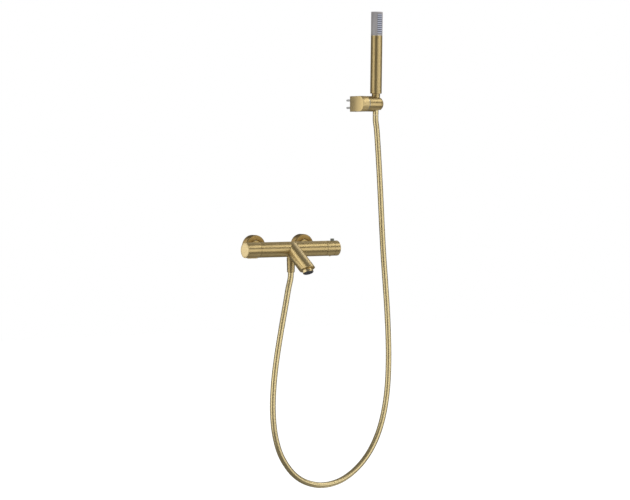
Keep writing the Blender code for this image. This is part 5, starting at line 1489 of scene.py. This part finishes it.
# ============================================================================================ hand shower
@dataclass
class StickHandset(SubAssembly):
    """The stick hand shower: the handle tube, the spray head and its strip of nozzles."""

    radius: float = 0.0155
    inner: float = 0.0139
    bottom: float = 0.0276
    joint: float = 0.1836
    top: float = 0.2461
    spigot: float = 0.0136
    spigot_low: float = 0.1736
    cavity: float = 0.0060
    cavity_top: float = 0.2361
    top_fillet: float = 0.0016
    strip_half: float = 0.0071
    strip_low: float = 0.1883
    strip_high: float = 0.2403
    strip_back: float = 0.0113
    pale_edge: float = 0.0016
    rib_rows: int = 10
    rib_rise: float = 0.0009
    nozzles: int = 4

    def build(self) -> None:
        """Build the tube, the head and the nozzle strip, and dress what is inside."""
        stick = self.layout.stick()
        tube = [(0.0096, self.bottom, 0.0002), (self.radius, self.bottom, 0.0008),
                (self.radius, self.joint - self.pale_edge, 0.0), (self.radius, self.joint - 0.0003, 0.0004),
                (self.inner, self.joint - 0.0003, 0.0), (self.inner, self.bottom + 0.002, 0.0),
                (0.0096, self.bottom + 0.002, 0.0)]
        mesh = Workshop.turned(tube, 128)
        for face in mesh.faces:
            lowest = min(vert.co.z for vert in face.verts)
            face.material_index = int(lowest > self.joint - self.pale_edge - 0.0001)
        handle = Workshop.piece("handle_tube", mesh, stick,
                                [self.shelf.take("gold_along_z"), self.shelf.take("gold_pale")])
        self.settle(handle, "handset", "brushed_gold", "handset_tube")
        self.head(stick)
        strip = Workshop.piece("nozzle_face", self.strip_mesh(), stick,
                               [self.shelf.take("nozzle_rib"), self.shelf.take("nozzle_groove")])
        self.settle(strip, "handset", "nozzle_grey", "nozzle_strip")
        self.dress("machined_brass", "handset_connector")
        self.dress("pale_plastic", "handset_water_tube")

    def head(self, stick: Seat) -> None:
        """The grey spray head with the recess for its nozzles.

        Args:
            stick: The hand shower's axis.
        """
        outline = [(self.cavity, self.spigot_low, 0.0), (self.spigot, self.spigot_low, 0.0003),
                   (self.spigot, self.joint, 0.0), (self.radius, self.joint, 0.0003),
                   (self.radius, self.top, self.top_fillet), (self.radius - 0.0032, self.top, 0.0),
                   (self.radius - 0.0036, self.top - 0.0003, 0.0), (0.0, self.top - 0.0003, 0.0),
                   (0.0, self.cavity_top, 0.0), (self.cavity, self.cavity_top, 0.0)]
        bm = self.hollow_turn(outline)
        piece = Workshop.piece("spray_shell", bm, stick, [self.shelf.take("spray_shell")])
        half = self.strip_half + 0.0003
        recess = Workshop.block((-half, -2 * self.radius, self.strip_low - 0.0003),
                                (half, -self.strip_back + 0.0003, self.strip_high + 0.0003))
        Workshop.change(piece, recess, stick, Cutting.CUT)
        slot = Workshop.block((-0.002, -self.strip_back - 0.001, self.strip_low + 0.004),
                              (0.002, 0.0, self.cavity_top - 0.004))
        Workshop.change(piece, slot, stick, Cutting.CUT)
        self.settle(piece, "handset", "spray_grey", "spray_head")

    @staticmethod
    def hollow_turn(outline: Sequence[OutlinePoint]) -> bmesh.types.BMesh:
        """Turn an outline that starts and ends off the axis but touches it in between.

        Args:
            outline: Radius, height and fillet of each corner.

        Returns:
            The turned mesh, closed into a ring.
        """
        points = Workshop.filleted(outline, True)
        sides = 128
        bm = bmesh.new()
        rings = []
        for radius, height in points:
            if radius <= 1e-9:
                rings.append([bm.verts.new((0.0, 0.0, height))] * sides)
            else:
                rings.append([bm.verts.new((radius * math.cos(math.tau * k / sides),
                                            radius * math.sin(math.tau * k / sides), height))
                              for k in range(sides)])
        for low, high in zip(rings, rings[1:] + rings[:1]):
            if low[0] is low[1] and high[0] is high[1]:
                continue
            for k in range(sides):
                corners = list(dict.fromkeys([low[k], low[(k + 1) % sides], high[(k + 1) % sides], high[k]]))
                if len(corners) > 2:
                    bm.faces.new(corners)
        bmesh.ops.recalc_face_normals(bm, faces=bm.faces)
        return bm

    def strip_mesh(self) -> bmesh.types.BMesh:
        """The nozzle strip: pale ribs across a dark curved face, with a row of nozzles on each rib.

        Returns:
            The strip, along the hand shower's axis.
        """
        bm = bmesh.new()
        span = math.asin(self.strip_half / self.radius)
        across = 14
        pitch = (self.strip_high - self.strip_low) / self.rib_rows
        shape = ((0.0, 0.0), (0.18, 0.0), (0.22, 0.7), (0.32, 1.0), (0.68, 1.0), (0.78, 0.7), (0.82, 0.0))
        rows: list[tuple[float, float, bool]] = []
        for rib in range(self.rib_rows):
            for share, rise in shape:
                rows.append((self.strip_low + (rib + share) * pitch, rise, 0.18 <= share < 0.82))
        rows.append((self.strip_high, 0.0, False))
        grid = []
        for height, rise, _ in rows:
            radius = self.radius - self.rib_rise * (1.0 - rise)
            line = []
            for k in range(across + 1):
                angle = span * (2 * k / across - 1)
                x = self.strip_half * (2 * k / across - 1)
                line.append(bm.verts.new((x, -math.sqrt(radius ** 2 - x ** 2) if k in (0, across)
                                          else -radius * math.cos(angle), height)))
            grid.append(line)
        back = [[bm.verts.new((self.strip_half * side, -self.strip_back, height)) for side in (-1, 1)]
                for height, _, _ in rows]
        for index in range(len(rows) - 1):
            pale = rows[index][2]
            low, high, rear, rear_up = grid[index], grid[index + 1], back[index], back[index + 1]
            for k in range(across):
                bm.faces.new([low[k], low[k + 1], high[k + 1], high[k]]).material_index = 0 if pale else 1
            for face in ([low[0], high[0], rear_up[0], rear[0]], [low[-1], rear[1], rear_up[1], high[-1]],
                         [rear[0], rear_up[0], rear_up[1], rear[1]]):
                bm.faces.new(face).material_index = 1
        for line, rear in ((grid[0], back[0]), (grid[-1], back[-1])):
            bm.faces.new(line + [rear[1], rear[0]]).material_index = 1
        bmesh.ops.recalc_face_normals(bm, faces=bm.faces)
        for rib in range(self.rib_rows):
            for nozzle in range(self.nozzles):
                self.add_nozzle(bm, self.strip_low + (rib + 0.5) * pitch,
                                span * 0.74 * (2 * nozzle / (self.nozzles - 1) - 1))
        return bm

    def add_nozzle(self, bm: bmesh.types.BMesh, height: float, angle: float) -> None:
        """One soft nozzle: a small cone with a dimple.

        Args:
            bm: The strip's mesh.
            height: Its height on the stick.
            angle: Its angle round the stick.
        """
        cone = Workshop.turned([(0.0, -0.0004, 0.0), (0.00085, -0.0004, 0.0), (0.0006, 0.0003, 0.00015),
                                (0.0003, 0.0003, 0.0), (0.0, 0.0, 0.0)], 12)
        outward = Vector((math.sin(angle), -math.cos(angle), 0.0))
        seat = Seat(outward * self.radius + Vector((0, 0, height)), outward, Vector((0, 0, 1)))
        cone.transform(seat.matrix())
        Workshop.merge(bm, cone)


# ============================================================================================ holder, bracket
@dataclass
class SwivelHolder(SubAssembly):
    """The swivel holder: a barrel with a domed end, its liner and the pivot pieces."""

    radius: float = 0.02075
    start: float = -0.0309
    edge: float = 0.0008
    seat: float = 0.0128276
    slot: float = 0.0085
    shank_hole: float = 0.0033
    head_hole: float = 0.0056
    head_floor: float = -0.0199
    liner: tuple[float, float] = (0.0125276, 0.0155)
    cone: tuple[float, float] = (0.0101300, 0.0112280)
    friction: tuple[float, float, float] = (0.0202, -0.0324, -0.0312)

    def build(self) -> None:
        """Build the barrel, the liner and the ring, and dress the bolt."""
        swivel, stick = self.layout.swivel(), self.layout.stick()
        fixed = Seat(self.layout.pivot(), Vector((1, 0, 0)), Vector((0, 1, 0)))
        dome = [(self.radius * math.cos(a), self.radius * math.sin(a), 0.0)
                for a in (math.radians(4.5 * k) for k in range(20))]
        outline = [(0.0, self.start, 0.0), (self.radius, self.start, self.edge), *dome,
                   (0.0, self.radius, 0.0)]
        barrel = Workshop.piece("holder_shell", Workshop.turned(outline, 128), swivel,
                                [self.shelf.take("gold_along_x")])
        reach = 2 * self.radius
        bore = [(0.0, -reach, 0.0), (self.seat, -reach, 0.0), (self.seat, reach, 0.0), (0.0, reach, 0.0)]
        Workshop.change(barrel, Workshop.turned(bore), stick, Cutting.CUT)
        Workshop.change(barrel, Workshop.block((0.0, -self.slot, -reach), (reach, self.slot, reach)), stick,
                        Cutting.CUT)
        bolt = [(0.0, self.start - 0.01, 0.0), (self.shank_hole, self.start - 0.01, 0.0),
                (self.shank_hole, self.head_floor, 0.0), (self.head_hole, self.head_floor, 0.0),
                (self.head_hole, -0.001, 0.0), (0.0, -0.001, 0.0)]
        Workshop.change(barrel, Workshop.turned(bolt, 48), swivel, Cutting.CUT)
        self.settle(barrel, "holder", "brushed_gold", "holder_barrel")
        outer, half = self.liner
        low_cone, high_cone = self.cone
        ring = [(low_cone, -half, 0.0003), (outer, -half, 0.0003), (outer, half, 0.0003),
                (high_cone, half, 0.0003)]
        liner = Workshop.piece("holder_cone_liner", Workshop.turned(ring), stick,
                               [self.shelf.take("dark_plastic")])
        Workshop.change(liner, Workshop.block((0.0, -self.slot, -reach), (reach, self.slot, reach)), stick,
                        Cutting.CUT)
        self.settle(liner, "holder", "dark_plastic", "holder_liner")
        radius, low, high = self.friction
        ring = [(self.shank_hole, low, 0.0), (radius, low, 0.0002), (radius, high, 0.0002),
                (self.shank_hole, high, 0.0)]
        piece = Workshop.piece("swivel_ring", Workshop.turned(ring), fixed,
                               [self.shelf.take("friction_ring")])
        self.settle(piece, "mixer", "pale_ring", "friction_ring")
        self.dress("steel", "pivot_bolt", "pivot_washer")


@dataclass
class WallBracket(SubAssembly):
    """The wall block with its hidden plate, screws, plugs and grub screw."""

    radius: float = 0.02075
    thickness: tuple[float, float] = (-0.0536, -0.0327)
    edge: float = 0.0007
    pocket: tuple[float, float, float] = (0.0068, 0.0163, 0.0095)
    bolt_hole: tuple[float, float] = (0.0033, -0.0450)
    grub_hole: tuple[float, float, float] = (0.0023, 0.0160, 0.0030)
    plug: tuple[float, float, float] = (0.0030, 0.0003, 0.0300)
    plug_hole: float = 0.0021
    plug_hole_end: float = 0.0283
    screw_height: float = 0.0100

    def wall_spot(self, height: float = 0.0) -> Seat:
        """The block's middle on the wall, raised by a height."""
        low, high = self.layout.box("bracket_wall_plate")
        middle = (low + high) / 2
        return Seat(Vector((middle.x, 0.0, middle.z + height)), Vector((0, -1, 0)), Vector((1, 0, 0)))

    def build(self) -> None:
        """Build the block and the plugs, and dress the fixings."""
        pivot = self.layout.pivot()
        axis = Seat(pivot, Vector((1, 0, 0)), Vector((0, 1, 0)))
        low, high = self.thickness
        reach = -pivot.y
        arc = [(-self.radius * math.cos(a), self.radius * math.sin(a))
               for a in (math.radians(-90 + 5 * k) for k in range(37))]
        outline = [(reach, -self.radius), *arc, (reach, self.radius)]
        block = Workshop.piece("wall_block", Workshop.prism(outline, low, high, self.edge), axis,
                               [self.shelf.take("gold_block")])
        spot = self.wall_spot()
        wide, tall, deep = self.pocket
        Workshop.change(block, Workshop.block((-wide, -tall, -0.01), (wide, tall, deep)), spot, Cutting.CUT)
        hole, inner = self.bolt_hole
        shaft = [(0.0, inner, 0.0), (hole, inner, 0.0), (hole, high + 0.01, 0.0), (0.0, high + 0.01, 0.0)]
        Workshop.change(block, Workshop.turned(shaft, 48), axis, Cutting.CUT)
        grub, start, out = self.grub_hole
        below = Seat(spot.origin + out * spot.along, Vector((0, 0, -1)), Vector((1, 0, 0)))
        shaft = [(0.0, start, 0.0), (grub, start, 0.0), (grub, self.radius + 0.01, 0.0),
                 (0.0, self.radius + 0.01, 0.0)]
        Workshop.change(block, Workshop.turned(shaft, 48), below, Cutting.CUT)
        self.settle(block, "mixer", "brushed_gold", "bracket_block")
        for word, sign in (("upper", 1), ("lower", -1)):
            self.wall_plug(word, self.wall_spot(sign * self.screw_height))
        self.dress("steel", "bracket_wall_plate", "bracket_screw_upper", "bracket_screw_lower",
                   "bracket_grub_screw")

    def wall_plug(self, word: str, spot: Seat) -> None:
        """A ribbed nylon plug behind the wall's surface.

        Args:
            word: Upper or lower.
            spot: Its axis on the wall.
        """
        radius, near, far = self.plug
        ribs: list[OutlinePoint] = []
        count = 9
        for rib in range(count):
            place = -far + 0.002 + rib * 0.0028
            ribs += [(radius - 0.0004, place, 0.0), (radius, place + 0.0019, 0.0)]
        outline = [(0.0, -far, 0.0), (radius - 0.0009, -far, 0.0004), *ribs, (radius, -near - 0.0004, 0.0),
                   (radius, -near, 0.0), (self.plug_hole, -near, 0.0),
                   (self.plug_hole, -self.plug_hole_end, 0.0),
                   (0.0, -self.plug_hole_end, 0.0)]
        piece = Workshop.piece(f"nylon_plug_{word}", Workshop.turned(outline, 32), spot,
                               [self.shelf.take("nylon")])
        self.settle(piece, "mixer", "plastic", f"wall_plug_{word}")


def main() -> None:
    """Build the studio, the hose and then each sub-assembly in turn."""
    logging.basicConfig(level=logging.INFO, format="%(name)s: %(message)s")
    shelf, layout = FinishShelf(), Layout()
    studio = Studio()
    studio.build(shelf)
    Hose(shelf, layout).build(HoseEnds(shelf, layout).build())
    for side in Side:
        WallUnion(shelf, layout, side).build()
    body = BarBody(shelf, layout)
    body.build()
    FlowEnd(shelf, layout).build()
    TemperatureEnd(shelf, layout).build()
    Aerator(shelf, layout, body).build()
    StickHandset(shelf, layout).build()
    SwivelHolder(shelf, layout).build()
    WallBracket(shelf, layout).build()
    for lamp in studio.lamps:
        lamp.flag()


if __name__ == "__main__":
    main()
